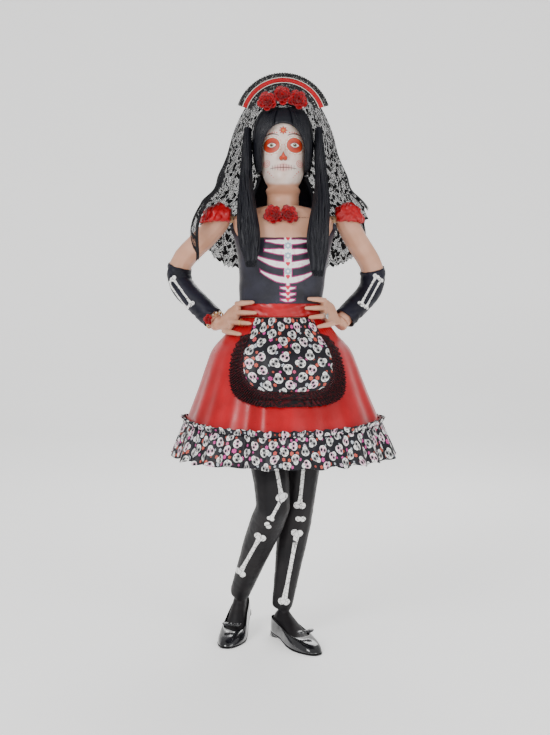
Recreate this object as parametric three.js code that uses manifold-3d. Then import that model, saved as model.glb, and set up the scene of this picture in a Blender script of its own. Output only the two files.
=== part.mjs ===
// A life-size catrina display figure: a papier-mache body on a wood and steel armature, dressed in a sewn
// costume, with a wig, a lace veil on a fan-shaped crown, and ballet flats. It stands on its own two shoes.
// The head turns on its post, and each arm turns forward on its shoulder peg.
//
// Millimetres, +Z up. The figure faces -Y, so its right hand is on the -X side. The origin is the middle of
// the bounding box, on the floor.
import * as THREE from "three";
import { LoftGeometry } from "three/addons/geometries/LoftGeometry.js";
import { mergeVertices } from "three/addons/utils/BufferGeometryUtils.js";
import Module from "manifold-3d";

const wasm = await Module();
wasm.setup();

const { Vector3, CatmullRomCurve3 } = THREE;
const { lerp, degToRad, clamp, smoothstep } = THREE.MathUtils;
const v3 = (x, y, z) => new Vector3(x, y, z);

// ---- Driving dimensions ----

const CLEAR = 0.6; // between pieces that lie on each other
const COVER = 2.4; // between a garment and what is worn over it
const PAPER = 6; // wall of a papier-mache shell
const KNIT = 1.2; // bodice, tights and gauntlets
const CLOTH = 1.5; // skirt, apron, ruffle and veil

// The body, from the hips up: height above the floor, half width, half depth and sideways lean.
const HIPS = { height: 835, halfWidth: 144, halfDepth: 102, aside: 0 };
const WAIST = { height: 945, halfWidth: 117, halfDepth: 88, aside: -7 };
const CHEST = { height: 1105, halfWidth: 127, halfDepth: 96, aside: 1 };
const SHOULDERS = { height: 1206, halfWidth: 146, halfDepth: 68, aside: 0 };
const NECK = { height: 1244, radius: 46, back: 8, sunk: 20 };
const HEAD = { chin: 1297, tall: 218, halfWidth: 71, halfDepth: 96 };

// The armature.
const POST = 11; // spine post radius
const BAR = { deep: 40, tall: 26, short: 48 }; // shoulder bar, and how far it stops short of the shoulder
const PEG = { radius: 10, reach: 32 }; // arm peg radius, and its length past the shoulder
const ROD = 8; // leg rod radius
const BLOCK = { tall: 40, bottom: 802 }; // hip block

// Legs: knee position and the radii down the leg.
const HIP_JOINT = 72; // half the distance between the legs at the top
const KNEES = {
  right: { x: -28, y: -98, z: 405 },
  left: { x: 44, y: -10, z: 410 },
};
const LEG = { hip: 60, thigh: 53, knee: 45, calf: 45, shin: 34, ankle: 27 };

// Feet: where the heel stands, which way the toes turn, and how far the heel is raised.
const FOOT = { length: 240, ball: 165, ankleAlong: 48, ankleUp: 88 };
const FEET = {
  right: { x: -108, y: 152, turn: -13, lift: 22 },
  left: { x: -28, y: 66, turn: 31, lift: 0 },
};
const SOLE = 4; // shoe sole thickness
const HEEL = 8; // height of the shoe's heel block
const UPPER = 2.6; // thickness of the shoe's upper

// Arms: the elbow from the shoulder, and the wrist from the side of the waist.
const ARMS = {
  right: { side: -1, out: 190, back: 112, drop: 151, wristOut: 48, wristBack: 20, grip: 926, pitch: 25 },
  left: { side: 1, out: 142, back: 112, drop: 170, wristOut: 37, wristBack: 20, grip: 941, pitch: 21.5 },
};
const WRIST = { height: 912, radius: 25 };
const ELBOW = { cut: 0.33, round: 0.5 }; // share of the arm's straight parts that its rounded elbow takes
const ARM = { setOut: 22, shoulder: 35, elbow: 35, forearm: 31 }; // setOut is from its flat end to its middle
const FINGER = { radius: 8, tip: 4, from: 62, to: 33 };
const FINGER_REACH = [-1, 3, 1, -5]; // degrees round the waist that each finger goes past the common tip

// Costume.
const SKIRT = { top: 925, bottom: 612, hem: 533, hemHalfWidth: 303, hemHalfDepth: 286 };
const RUFFLE_TOP = 624;
const WAISTBAND = { bottom: 926.5, top: 964 };
const APRON = { length: 206, turn: 5, halfAngle: 38, corner: 4, lace: 27 };
const PETTICOAT = { bottom: 562, top: 905, inset: 9 };
const ROSE = { radius: 22, deep: 12 };

// Wig, crown and veil.
// The wig's rim is measured up from the chin, and its hairline down from the top of the head.
const WIG = { thick: 13, rim: 38, hairline: 47, faceHalfWidth: 62 };
const CROWN = { y: -40, below: 33, inner: 95, outer: 134, spread: 71, thick: 3 };
const RIBBON = { inner: 108, outer: 121 };
const BAND = 4; // headband radius
const VEIL = { right: -122, left: 100, corner: 2.6 }; // how far round from the back it goes, and how square

const material = (color, roughness, metalness = 0) =>
  new THREE.MeshStandardMaterial({ color, roughness, metalness });
const SKIN = material(0xd9a88c, 0.6);
const FACE = material(0xf1e4dc, 0.6);
const WOOD = material(0xb98b5a, 0.7);
const STEEL = material(0x8a8d90, 0.4, 1);
const HAIR = material(0x0c0d14, 0.45);
const BLACK_KNIT = material(0x14141c, 0.8);
const SATIN = material(0xd40a24, 0.35);
const PRINT = material(0x24222a, 0.6);
const LACE = material(0x101014, 0.8);
const ROSE_RED = material(0x9c0a12, 0.7);
const PATENT = material(0x08080a, 0.15);
const GOLD = material(0xc9a24a, 0.3, 1);
const SILVER = material(0x9ea0a0, 0.3, 1);

// ---- Helpers ----

// A smooth curve through rows of [at, value, value...], as a function that gives the values.
function through(rows) {
  const slope = (i, k) => {
    const low = rows[Math.max(i - 1, 0)];
    const high = rows[Math.min(i + 1, rows.length - 1)];
    return (high[k] - low[k]) / (high[0] - low[0]);
  };
  return (at) => {
    let i = 0;
    while (i < rows.length - 2 && at > rows[i + 1][0]) i++;
    const span = rows[i + 1][0] - rows[i][0];
    const t = clamp((at - rows[i][0]) / span, 0, 1);
    return rows[i].slice(1).map((from, j) => {
      const to = rows[i + 1][j + 1];
      const bend = t * (1 - t) * span;
      const rise = to - from;
      return (
        from + rise * t * t * (3 - 2 * t) +
        bend * ((1 - t) * slope(i, j + 1) - t * slope(i + 1, j + 1))
      );
    });
  };
}

const steps = (from, to, count) =>
  Array.from({ length: count + 1 }, (_, i) => lerp(from, to, i / count));

const turns = (sides) => steps(0, 2 * Math.PI, sides).slice(0, -1);

// A ring round a centre, in the plane of two half-axes.
const ring = (centre, across, out, sides) =>
  turns(sides).map((a) =>
    centre.clone().addScaledVector(across, Math.cos(a)).addScaledVector(out, Math.sin(a)),
  );

// Level rings of an upright body whose profile gives half width, half depth and centre at a height.
const levels = (profile, sides) => (z, grow = 0) => {
  const [a, b, x = 0, y = 0] = profile(z);
  return ring(v3(x, y, z), v3(a + grow, 0, 0), v3(0, b + grow, 0), sides);
};

// Rings square to a path, whose radii across it and out of its plane change along it.
const along = (path, radii, up, sides) => (t, grow = 0) => {
  const ahead = path.getTangentAt(t);
  const across = new Vector3().crossVectors(up, ahead).normalize();
  const out = new Vector3().crossVectors(ahead, across);
  const [a, b = a] = radii(t);
  return ring(path.getPointAt(t), across.multiplyScalar(a + grow), out.multiplyScalar(b + grow), sides);
};

// A skin through rings, closed at both ends by a fan to the middle of the end ring.
function capped(rings) {
  const point = (points) => {
    const middle = points.reduce((sum, p) => sum.add(p), v3(0, 0, 0)).divideScalar(points.length);
    return points.map(() => middle);
  };
  return new LoftGeometry([point(rings[0]), ...rings, point(rings.at(-1))]);
}

// Splits the squares of a grid along their other diagonal, from one place in its index to another.
function turnDiagonals(index, from, to) {
  for (let i = from; i < to; i += 6) {
    const [a, c] = [index.getX(i), index.getX(i + 4)];
    index.setX(i + 2, c);
    index.setX(i + 3, a);
  }
}

// A wall that is open at both ends, between an inner and an outer growth of one kind of ring. Both its faces
// are split into triangles alike, so that a tube fits closely inside or round another with the same stations.
function tube(rings, stations, inner, outer) {
  const wall = [
    ...stations.map((s) => rings(s, inner)),
    ...stations.toReversed().map((s) => rings(s, outer)),
  ];
  const loft = new LoftGeometry([...wall, wall[0]]);
  turnDiagonals(loft.index, 6 * stations.length * wall[0].length, loft.index.count);
  return loft;
}

// A flat block of cells bent into a sheet: place takes x and y from 0 to 1, and z as 0 inside or 1 outside.
function sheet(columns, rows, place) {
  const geometry = new THREE.BoxGeometry(1, 1, 1, columns, rows, 1);
  const at = geometry.attributes.position;
  for (let i = 0; i < at.count; i++) {
    const p = place(at.getX(i) + 0.5, at.getY(i) + 0.5, at.getZ(i) + 0.5);
    at.setXYZ(i, p.x, p.y, p.z);
  }
  const inside = geometry.groups[5];
  turnDiagonals(geometry.index, inside.start, inside.start + inside.count);
  return geometry;
}

// One vertex at each point, without the triangles that this closes up.
function merged(geometry) {
  const bare = new THREE.BufferGeometry()
    .setAttribute("position", geometry.attributes.position.clone())
    .setIndex(geometry.index);
  const whole = mergeVertices(bare, 1e-3);
  const kept = [];
  for (let i = 0; i < whole.index.count; i += 3) {
    const corners = [0, 1, 2].map((k) => whole.index.getX(i + k));
    if (new Set(corners).size === 3) kept.push(...corners);
  }
  return whole.setIndex(kept);
}

// Turns the faces of a closed surface outwards.
function outward(geometry) {
  const closed = merged(geometry);
  const [p, index] = [closed.attributes.position, closed.index];
  const corner = (i) => new Vector3().fromBufferAttribute(p, index.getX(i));
  let volume = 0;
  for (let i = 0; i < index.count; i += 3) {
    volume += corner(i).dot(corner(i + 1).cross(corner(i + 2)));
  }
  if (volume < 0) {
    for (let i = 0; i < index.count; i += 3) {
      const second = index.getX(i + 1);
      index.setX(i + 1, index.getX(i + 2));
      index.setX(i + 2, second);
    }
  }
  return closed;
}

function solid(geometry) {
  const closed = outward(geometry);
  return new wasm.Manifold(
    new wasm.Mesh({
      numProp: 3,
      vertProperties: new Float32Array(closed.attributes.position.array),
      triVerts: new Uint32Array(closed.index.array),
    }),
  );
}

function geometryOf(made) {
  const mesh = made.getMesh();
  return new THREE.BufferGeometry()
    .setAttribute("position", new THREE.BufferAttribute(mesh.vertProperties, 3))
    .setIndex(new THREE.BufferAttribute(mesh.triVerts, 1));
}

const join = (first, ...others) =>
  geometryOf(others.reduce((made, g) => made.add(solid(g)), solid(first)));
const cut = (first, ...others) =>
  geometryOf(others.reduce((made, g) => made.subtract(solid(g)), solid(first)));

const box = (x0, x1, y0, y1, z0, z1) =>
  new THREE.BoxGeometry(x1 - x0, y1 - y0, z1 - z0).translate(
    (x0 + x1) / 2, (y0 + y1) / 2, (z0 + z1) / 2,
  );
const FAR = 1000; // half the size of a block that cuts everything on one side of a plane

// A round bar along X or Z, between two ends.
const barAlongX = (radius, x0, x1, y, z, sides = 16) =>
  new THREE.CylinderGeometry(radius, radius, x1 - x0, sides)
    .rotateZ(Math.PI / 2).translate((x0 + x1) / 2, y, z);
const barAlongZ = (radius, z0, z1, x, y, sides = 16) =>
  new THREE.CylinderGeometry(radius, radius, z1 - z0, sides)
    .rotateX(Math.PI / 2).translate(x, y, (z0 + z1) / 2);

const blob = (a, b, c, detail = 1) => new THREE.IcosahedronGeometry(1, detail).scale(a, b, c);

// ---- Groups: the figure, its head and its arms, each at the point that it turns about ----

const figure = new THREE.Group();
const headGroup = new THREE.Group();
headGroup.position.set(0, NECK.back, NECK.height);
const armGroups = { right: new THREE.Group(), left: new THREE.Group() };
for (const [name, arm] of Object.entries(ARMS)) {
  armGroups[name].position.set(arm.side * SHOULDERS.halfWidth, 0, SHOULDERS.height);
}
figure.add(headGroup, armGroups.right, armGroups.left);

// Adds a named piece whose geometry is drawn in the figure's frame to the group that carries it.
function piece(name, geometry, look, group = figure) {
  const { x, y, z } = group.position;
  const mesh = new THREE.Mesh(outward(geometry).translate(-x, -y, -z), look);
  mesh.name = name;
  group.add(mesh);
}

// ---- Profiles: [height, half width, half depth, centre x, centre y] ----

const bodyRow = (part) => [part.height, part.halfWidth, part.halfDepth, part.aside, 0];
const collar = NECK.radius + 3 * CLEAR + PAPER;
const torsoProfile = through([
  [BLOCK.bottom, HIPS.halfWidth - 2, HIPS.halfDepth - 2, HIPS.aside, 0],
  bodyRow(HIPS),
  bodyRow(WAIST),
  bodyRow(CHEST),
  bodyRow(SHOULDERS),
  [
    lerp(SHOULDERS.height, NECK.height, 0.62),
    lerp(SHOULDERS.halfWidth, collar, 0.36),
    collar + 8,
    0,
    NECK.back / 2,
  ],
  [NECK.height, collar, collar, 0, NECK.back],
]);
const torsoRings = levels(torsoProfile, 18);
const bodiceHem = WAISTBAND.bottom - 1;
const torsoStations = [
  ...steps(BLOCK.bottom, bodiceHem, 3),
  WAIST.height,
  ...steps(WAISTBAND.top, SHOULDERS.height, 4),
  ...steps(SHOULDERS.height, NECK.height, 3).slice(1),
];

// How the skirt swells from the waist to the hem: [share of the way down, share of the spread].
const swell = through([
  [0, 0], [0.105, 0.16], [0.21, 0.37], [0.32, 0.48], [0.53, 0.64], [0.77, 0.84], [1, 1],
]);
const waistOver = CLEAR + KNIT + COVER;
function skirtProfile(z) {
  const [share] = swell((SKIRT.top - z) / (SKIRT.top - SKIRT.hem));
  const still = clamp((SKIRT.top - z) / (SKIRT.top - SKIRT.hem), 0, 1);
  const [a, b, x] = torsoProfile(SKIRT.top);
  return [
    lerp(a + waistOver, SKIRT.hemHalfWidth, share),
    lerp(b + waistOver, SKIRT.hemHalfDepth, share),
    lerp(x, 0, still),
    0,
  ];
}
const skirtRings = levels(skirtProfile, 24);

// A point on a dressed surface: an angle round from the front, positive towards the left hand.
function dressed(profile, turn, z, grow) {
  const [a, b, x, y = 0] = profile(z);
  const angle = degToRad(turn);
  return v3(x + (a + grow) * Math.sin(angle), y - (b + grow) * Math.cos(angle), z);
}

const crownTop = HEAD.chin + HEAD.tall;
const crownZ = crownTop - CROWN.below;
const wigRim = HEAD.chin + WIG.rim;
const headAt = (share) => lerp(HEAD.chin, crownTop, share);
const headRows = [
  [NECK.height - NECK.sunk, NECK.radius, NECK.radius, 0, NECK.back],
  [NECK.height + 18, NECK.radius, NECK.radius, 0, NECK.back],
  [headAt(-0.06), NECK.radius, NECK.radius + 2, 0, NECK.back - 4],
  [headAt(0), HEAD.halfWidth - 21, HEAD.halfDepth - 30, 0, -10],
  [headAt(0.06), HEAD.halfWidth - 16, HEAD.halfDepth - 20, 0, -9],
  [headAt(0.2), HEAD.halfWidth - 8, HEAD.halfDepth - 10, 0, -4],
  [headAt(0.38), HEAD.halfWidth - 2, HEAD.halfDepth - 3, 0, 2],
  [headAt(0.56), HEAD.halfWidth, HEAD.halfDepth, 0, 5],
  [headAt(0.72), HEAD.halfWidth - 2, HEAD.halfDepth - 2, 0, 8],
  [headAt(0.86), HEAD.halfWidth - 13, HEAD.halfDepth - 16, 0, 10],
  [headAt(0.95), HEAD.halfWidth - 33, HEAD.halfDepth - 41, 0, 10],
  [crownTop, HEAD.halfWidth - 57, HEAD.halfDepth - 76, 0, 10],
];
const headProfile = through(headRows);
const headRings = levels(headProfile, 14);

// ---- Armature ----

const shoulderFace = SHOULDERS.halfWidth + CLEAR + KNIT + COVER; // where the arm's flat end begins
const bodyMiddle = { x: 0, y: NECK.back };

function armature() {
  const blockTop = BLOCK.bottom + BLOCK.tall;
  const rods = Object.values(legs).map((leg) => capped(leg.rodStations.map((t) => leg.bore(t, CLEAR))));
  const spineHole = barAlongZ(POST + CLEAR, BLOCK.bottom - 10, blockTop + 10, bodyMiddle.x, bodyMiddle.y);
  const plug = capped([BLOCK.bottom, blockTop].map((z) => torsoRings(z, -PAPER - CLEAR - 1)));
  piece("hip_block", cut(plug, spineHole, ...rods), WOOD);
  piece("spine_post", barAlongZ(POST, BLOCK.bottom, headAt(0.45), bodyMiddle.x, bodyMiddle.y), WOOD);

  const half = SHOULDERS.halfWidth - BAR.short;
  const z = SHOULDERS.height;
  const beam = box(-half, half, -BAR.deep / 2, BAR.deep / 2, z - BAR.tall / 2, z + BAR.tall / 2);
  const pegs = barAlongX(PEG.radius, -shoulderFace - PEG.reach, shoulderFace + PEG.reach, 0, z);
  const postHole = barAlongZ(POST + CLEAR, z - BAR.tall, z + BAR.tall, bodyMiddle.x, bodyMiddle.y);
  piece("shoulder_bar", cut(join(beam, pegs), postHole), WOOD);
  for (const [name, leg] of Object.entries(legs)) {
    piece(`${name}_leg_rod`, capped(leg.rodStations.map((t) => leg.bore(t))), STEEL);
  }
}

// ---- Legs, feet and shoes ----

// The foot's own frame: X from heel to toes, Z up, heel at the origin. Past the ball the shoe stays flat, and
// behind it everything rolls up by the lift.
const ROLL = 60; // how much of the sole bends when the heel is raised
function rolled(p, lift) {
  const behind = FOOT.ball - p.x;
  if (behind <= 0 || lift === 0) return p;
  const angle = degToRad(lift) * Math.min(behind / ROLL, 1);
  const radius = ROLL / degToRad(lift);
  const straight = Math.max(behind - ROLL, 0);
  return v3(
    FOOT.ball - radius * Math.sin(angle) - straight * Math.cos(angle) + p.z * Math.sin(angle),
    p.y,
    radius * (1 - Math.cos(angle)) + straight * Math.sin(angle) + p.z * Math.cos(angle),
  );
}

const footHalfWidth = through([
  [0, 24], [25, 29], [70, 29], [120, 35], [170, 43], [210, 39], [FOOT.length, 28],
]);
const insole = (x) => SOLE + HEEL * (1 - smoothstep(x, 85, 130));
const footTop = through([
  [11, 32], [24, 66], [50, FOOT.ankleUp + 2], [80, 75], [120, 49], [150, 30], [180, 22], [205, 17], [226, 12],
]);

// Half the width of the sole, which is round at both ends.
function soleHalf(at) {
  const half = FOOT.length / 2;
  return footHalfWidth(at)[0] * (1 - ((at - half) / half) ** 2) ** 0.25;
}

// A round-ended outline of the foot, at an angle round it from the toes.
function outline(angle, inset) {
  const half = FOOT.length / 2;
  const x = half + (half - inset) * Math.cos(angle);
  const side = Math.sign(Math.sin(angle)) * Math.sqrt(Math.abs(Math.sin(angle)));
  return [x, (footHalfWidth(x)[0] - inset) * side];
}

// The shoe's opening, from the heel to the vamp.
function opening(angle, inset) {
  const [middle, reach] = [86, 80];
  const x = middle + (reach - inset) * Math.cos(angle);
  const side = Math.sign(Math.sin(angle)) * Math.sqrt(Math.abs(Math.sin(angle)));
  return [x, (footHalfWidth(x)[0] - 1 - inset) * side, insole(x) + 30 + 8 * (1 - Math.cos(angle))];
}

function makeFoot(name, { x, y, turn, lift }) {
  const facing = new THREE.Matrix4()
    .makeTranslation(x, y, 0)
    .multiply(new THREE.Matrix4().makeRotationZ(degToRad(turn - 90)));
  const place = (p) => rolled(p, lift).applyMatrix4(facing);
  const placeAll = (rings) => rings.map((points) => points.map(place));

  const form = placeAll(
    [11, 18, 28, 54, 80, 110, 140, 165, 190, 212, 225].map((at) => {
      const [low, high] = [insole(at) + 1, footTop(at)[0]];
      const half = soleHalf(at) - 8;
      return ring(v3(at, 0, (low + high) / 2), v3(0, half, 0), v3(0, 0, (high - low) / 2), 10);
    }),
  );

  const soleRings = placeAll(
    [0.5, 3, 10, 25, 60, 90, 108, 130, 150, 170, 195, 220, 234, 239.5].map((at) => {
      const wide = soleHalf(at);
      const top = insole(at) - 1.4;
      return [
        v3(at, wide, top), v3(at, -wide, top),
        v3(at, -wide, insole(at) - SOLE), v3(at, wide, insole(at) - SOLE),
      ];
    }),
  );

  const upperRing = (level, inset) =>
    turns(20).map((angle) => {
      const [ox, oy] = outline(angle, inset);
      const [rx, ry, rz] = opening(angle, inset);
      const low = v3(ox, oy, insole(ox));
      const mid = v3(ox, oy, insole(ox) + 22);
      const blend = new THREE.QuadraticBezierCurve3(low, mid, v3(rx, ry, rz - inset));
      return place(blend.getPoint(level));
    });

  const heelRings = placeAll(
    [0, HEEL - CLEAR].map((z) =>
      turns(12).map((a) => {
        const at = 30 + 27 * Math.cos(a);
        return v3(at, 24 * Math.sin(a), z);
      }),
    ),
  );

  const knot = blob(6, 6, 5, 0).translate(FOOT.ball + 8, 0, 0);
  const loops = [-1, 1].map((side) =>
    blob(9, 15, 4.5, 0).rotateX(degToRad(side * 12)).translate(FOOT.ball + 8, side * 15, 0),
  );
  const bow = join(knot, ...loops);
  const bowAt = place(v3(FOOT.ball + 8, 0, insole(FOOT.ball) + 45));
  bow.translate(-FOOT.ball - 8, 0, 0).rotateY(degToRad(22));
  bow.applyMatrix4(new THREE.Matrix4().extractRotation(facing)).translate(bowAt.x, bowAt.y, bowAt.z);

  piece(`${name}_shoe_sole`, capped(soleRings), PATENT);
  piece(`${name}_shoe_heel`, capped(heelRings), PATENT);
  piece(`${name}_shoe_upper`, tube(upperRing, [0, 0.35, 0.7, 1], UPPER, 0), PATENT);
  piece(`${name}_shoe_bow`, bow, PATENT);
  return { form: capped(form), ankle: place(v3(FOOT.ankleAlong, 0, FOOT.ankleUp)) };
}

const feet = { right: makeFoot("right", FEET.right), left: makeFoot("left", FEET.left) };

function makeLeg(name, side) {
  const knee = v3(KNEES[name].x, KNEES[name].y, KNEES[name].z);
  const { ankle } = feet[name];
  const hipX = side * HIP_JOINT;
  const blockTop = BLOCK.bottom + BLOCK.tall;
  const behind = (share, back) => knee.clone().lerp(ankle, share).add(v3(0, back, 0));
  const path = new CatmullRomCurve3([
    v3(hipX, NECK.back, blockTop + 2),
    v3(hipX, NECK.back, BLOCK.bottom - 30),
    v3(hipX, NECK.back, BLOCK.bottom).lerp(knee, 0.5).add(v3(side * 6, -8, 0)),
    knee,
    behind(0.3, 8),
    behind(0.65, 4),
    ankle,
  ]);
  path.arcLengthDivisions = 400;
  const reach = (z) => {
    let [low, high] = [0, 1];
    for (let i = 0; i < 30; i++) {
      const middle = (low + high) / 2;
      if (path.getPointAt(middle).z > z) low = middle;
      else high = middle;
    }
    return low;
  };
  const top = reach(BLOCK.bottom - CLEAR);
  const at = (point) => reach(point.z);
  const radii = through([
    [0, LEG.hip], [top, LEG.hip], [reach(lerp(BLOCK.bottom, knee.z, 0.55)), LEG.thigh],
    [at(knee), LEG.knee], [at(behind(0.26, 0)), LEG.calf], [at(behind(0.68, 0)), LEG.shin], [1, LEG.ankle],
  ]);
  const up = v3(0, 1, 0);
  const rings = along(path, radii, up, LEG_SIDES);
  const bore = along(path, () => [ROD], up, LEG_SIDES);
  const sockTop = reach(tightsSeam - CLEAR);
  const stations = [...steps(sockTop, SOCK_END, 9), 1];
  const inside = [top, ...stations.slice(0, -3)];
  const core = capped([
    ...inside.toReversed().map((t) => bore(t, 2 * CLEAR)),
    ...[top, ...stations].map((t) => rings(t)),
  ]);
  const overhead = box(-FAR, FAR, -FAR, FAR, BLOCK.bottom - CLEAR, 2 * FAR);
  piece(`${name}_leg`, cut(join(core, feet[name].form), overhead), SKIN);
  const sock = tube(rings, stations.slice(0, -1), COVER, COVER + KNIT);
  piece(`${name}_tights_leg`, sock, BLACK_KNIT);
  return { bore, rodStations: [0.005, ...inside.slice(0, -1), lerp(inside.at(-2), inside.at(-1), 0.9)] };
}

const LEG_SIDES = 10;
const SOCK_END = 0.93; // share of the leg's path at which the tights end, inside the shoe
const tightsSeam = BLOCK.bottom - 62; // where the tights' legs join their brief
const legs = { right: makeLeg("right", -1), left: makeLeg("left", 1) };

armature();

const tightsStations = [tightsSeam, ...torsoStations.filter((z) => z < SKIRT.top - 30)];
piece("tights_brief", tube(torsoRings, tightsStations, COVER, COVER + KNIT), BLACK_KNIT);

// ---- Torso ----

function torso() {
  const shell = tube(torsoRings, torsoStations, -PAPER, 0);
  const hole = barAlongX(PEG.radius + 2, -FAR, FAR, 0, SHOULDERS.height);
  const half = CLEAR / 2;
  const behind = box(-FAR, FAR, -half, FAR, 0, 2 * FAR);
  const ahead = box(-FAR, FAR, -FAR, half, 0, 2 * FAR);
  piece("torso_front_shell", cut(shell, hole, behind), SKIN);
  piece("torso_back_shell", cut(shell, hole, ahead), SKIN);
  const covered = torsoStations.filter((z) => z >= bodiceHem);
  piece("bodice", cut(tube(torsoRings, covered, COVER - KNIT, COVER), hole), BLACK_KNIT);
}
torso();

// ---- Dress, apron and bow ----

const skirtStations = steps(SKIRT.top, SKIRT.bottom, 7);
function dress() {
  piece("skirt", tube(skirtRings, skirtStations, 0, CLOTH), SATIN);
  const frillTop = CLOTH + COVER;
  const frill = (z, grow) => skirtRings(z, grow + frillTop);
  piece("hem_ruffle", tube(frill, steps(RUFFLE_TOP, SKIRT.hem, 2), 0, CLOTH), PRINT);
  const flare = (z, grow) =>
    skirtRings(z, grow - lerp(3.5, PETTICOAT.inset, smoothstep(PETTICOAT.top - z, 0, 60)));
  piece("petticoat", tube(flare, steps(PETTICOAT.top, PETTICOAT.bottom, 5), 0, CLOTH), LACE);
}
dress();

const apronOver = CLOTH + COVER; // how far the apron stands off the skirt's own surface
const apronTop = WAISTBAND.bottom - CLEAR - 1;

// A point on the apron's rounded outline: share goes round from one top corner to the other.
function apronEdge(share, growAngle, growLength, stand) {
  const sweep = Math.PI * share;
  const power = 2 / APRON.corner;
  const wide = Math.sign(Math.cos(sweep)) * Math.abs(Math.cos(sweep)) ** power;
  const down = Math.sin(sweep) ** power;
  return dressed(
    skirtProfile,
    APRON.turn + (APRON.halfAngle + growAngle) * wide,
    apronTop - (APRON.length + growLength) * down,
    stand,
  );
}

function apron() {
  const panel = sheet(10, 7, (x, y, z) => {
    const down = 0.985 * (1 - y);
    const wide = (1 - down ** APRON.corner) ** (1 / APRON.corner);
    const turn = APRON.turn + APRON.halfAngle * wide * (2 * x - 1);
    return dressed(skirtProfile, turn, apronTop - APRON.length * down, apronOver + CLOTH * z);
  });
  piece("apron", panel, PRINT);
  const spread = 7; // degrees that the lace reaches past the panel's side
  const trim = sheet(28, 1, (x, y, z) => {
    const grow = 0.12 + 0.88 * y;
    return apronEdge(lerp(0.985, 0.015, x), spread * grow, APRON.lace * grow, apronOver + 1 + CLOTH * z);
  });
  piece("apron_lace", trim, LACE);
  const over = COVER + CLEAR + 1;
  const beltStations = [WAISTBAND.bottom, WAIST.height, WAISTBAND.top];
  piece("waistband", tube(torsoRings, beltStations, over, over + CLOTH), SATIN);
}
apron();

const beltHeight = (WAISTBAND.bottom + WAISTBAND.top) / 2;
function apronBow() {
  const knotAt = dressed(torsoProfile, 180, beltHeight, COVER + CLEAR + 1 + CLOTH + 11);
  const knot = blob(13, 9, 15).translate(knotAt.x, knotAt.y, knotAt.z);
  const loops = [-1, 1].map((side) =>
    blob(38, 8, 20).rotateY(degToRad(side * 12)).translate(knotAt.x + side * 42, knotAt.y + 2, knotAt.z - 4),
  );
  piece("apron_bow", join(knot, ...loops), SATIN);
  for (const [name, side] of [["right", -1], ["left", 1]]) {
    const tail = sheet(2, 8, (x, y, z) => {
      const down = 1 - y;
      const turn = 180 + side * (5 + 9 * down) + lerp(-5, 5, x) * lerp(0.8, 1, down);
      return dressed(skirtProfile, turn, WAISTBAND.bottom - 3 - 190 * down, apronOver + 1 + CLOTH * z);
    });
    piece(`apron_tail_${name}`, tail, SATIN);
  }
}
apronBow();

const rose = (scale = 1) => blob(ROSE.radius * scale, ROSE.deep * scale, ROSE.radius * scale);

function collarRoses() {
  for (const [name, x] of [["right", -30], ["left", 17]]) {
    const z = NECK.height - 30;
    const [, b] = torsoProfile(z);
    piece(`collar_rose_${name}`, rose().translate(x, -b - ROSE.deep - COVER - 4, z), ROSE_RED);
  }
}
collarRoses();

// ---- Arms and hands ----

// What the hands lie on, at a height: the waistband above the skirt's top, and the apron over the skirt below.
function handSurface(z) {
  if (z > SKIRT.top) {
    const [a, b, x] = torsoProfile(z);
    const over = COVER + CLEAR + 1 + CLOTH;
    return [a + over, b + over, x, 0];
  }
  const [a, b, x] = skirtProfile(z);
  return [a + apronOver + CLOTH, b + apronOver + CLOTH, x, 0];
}

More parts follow.
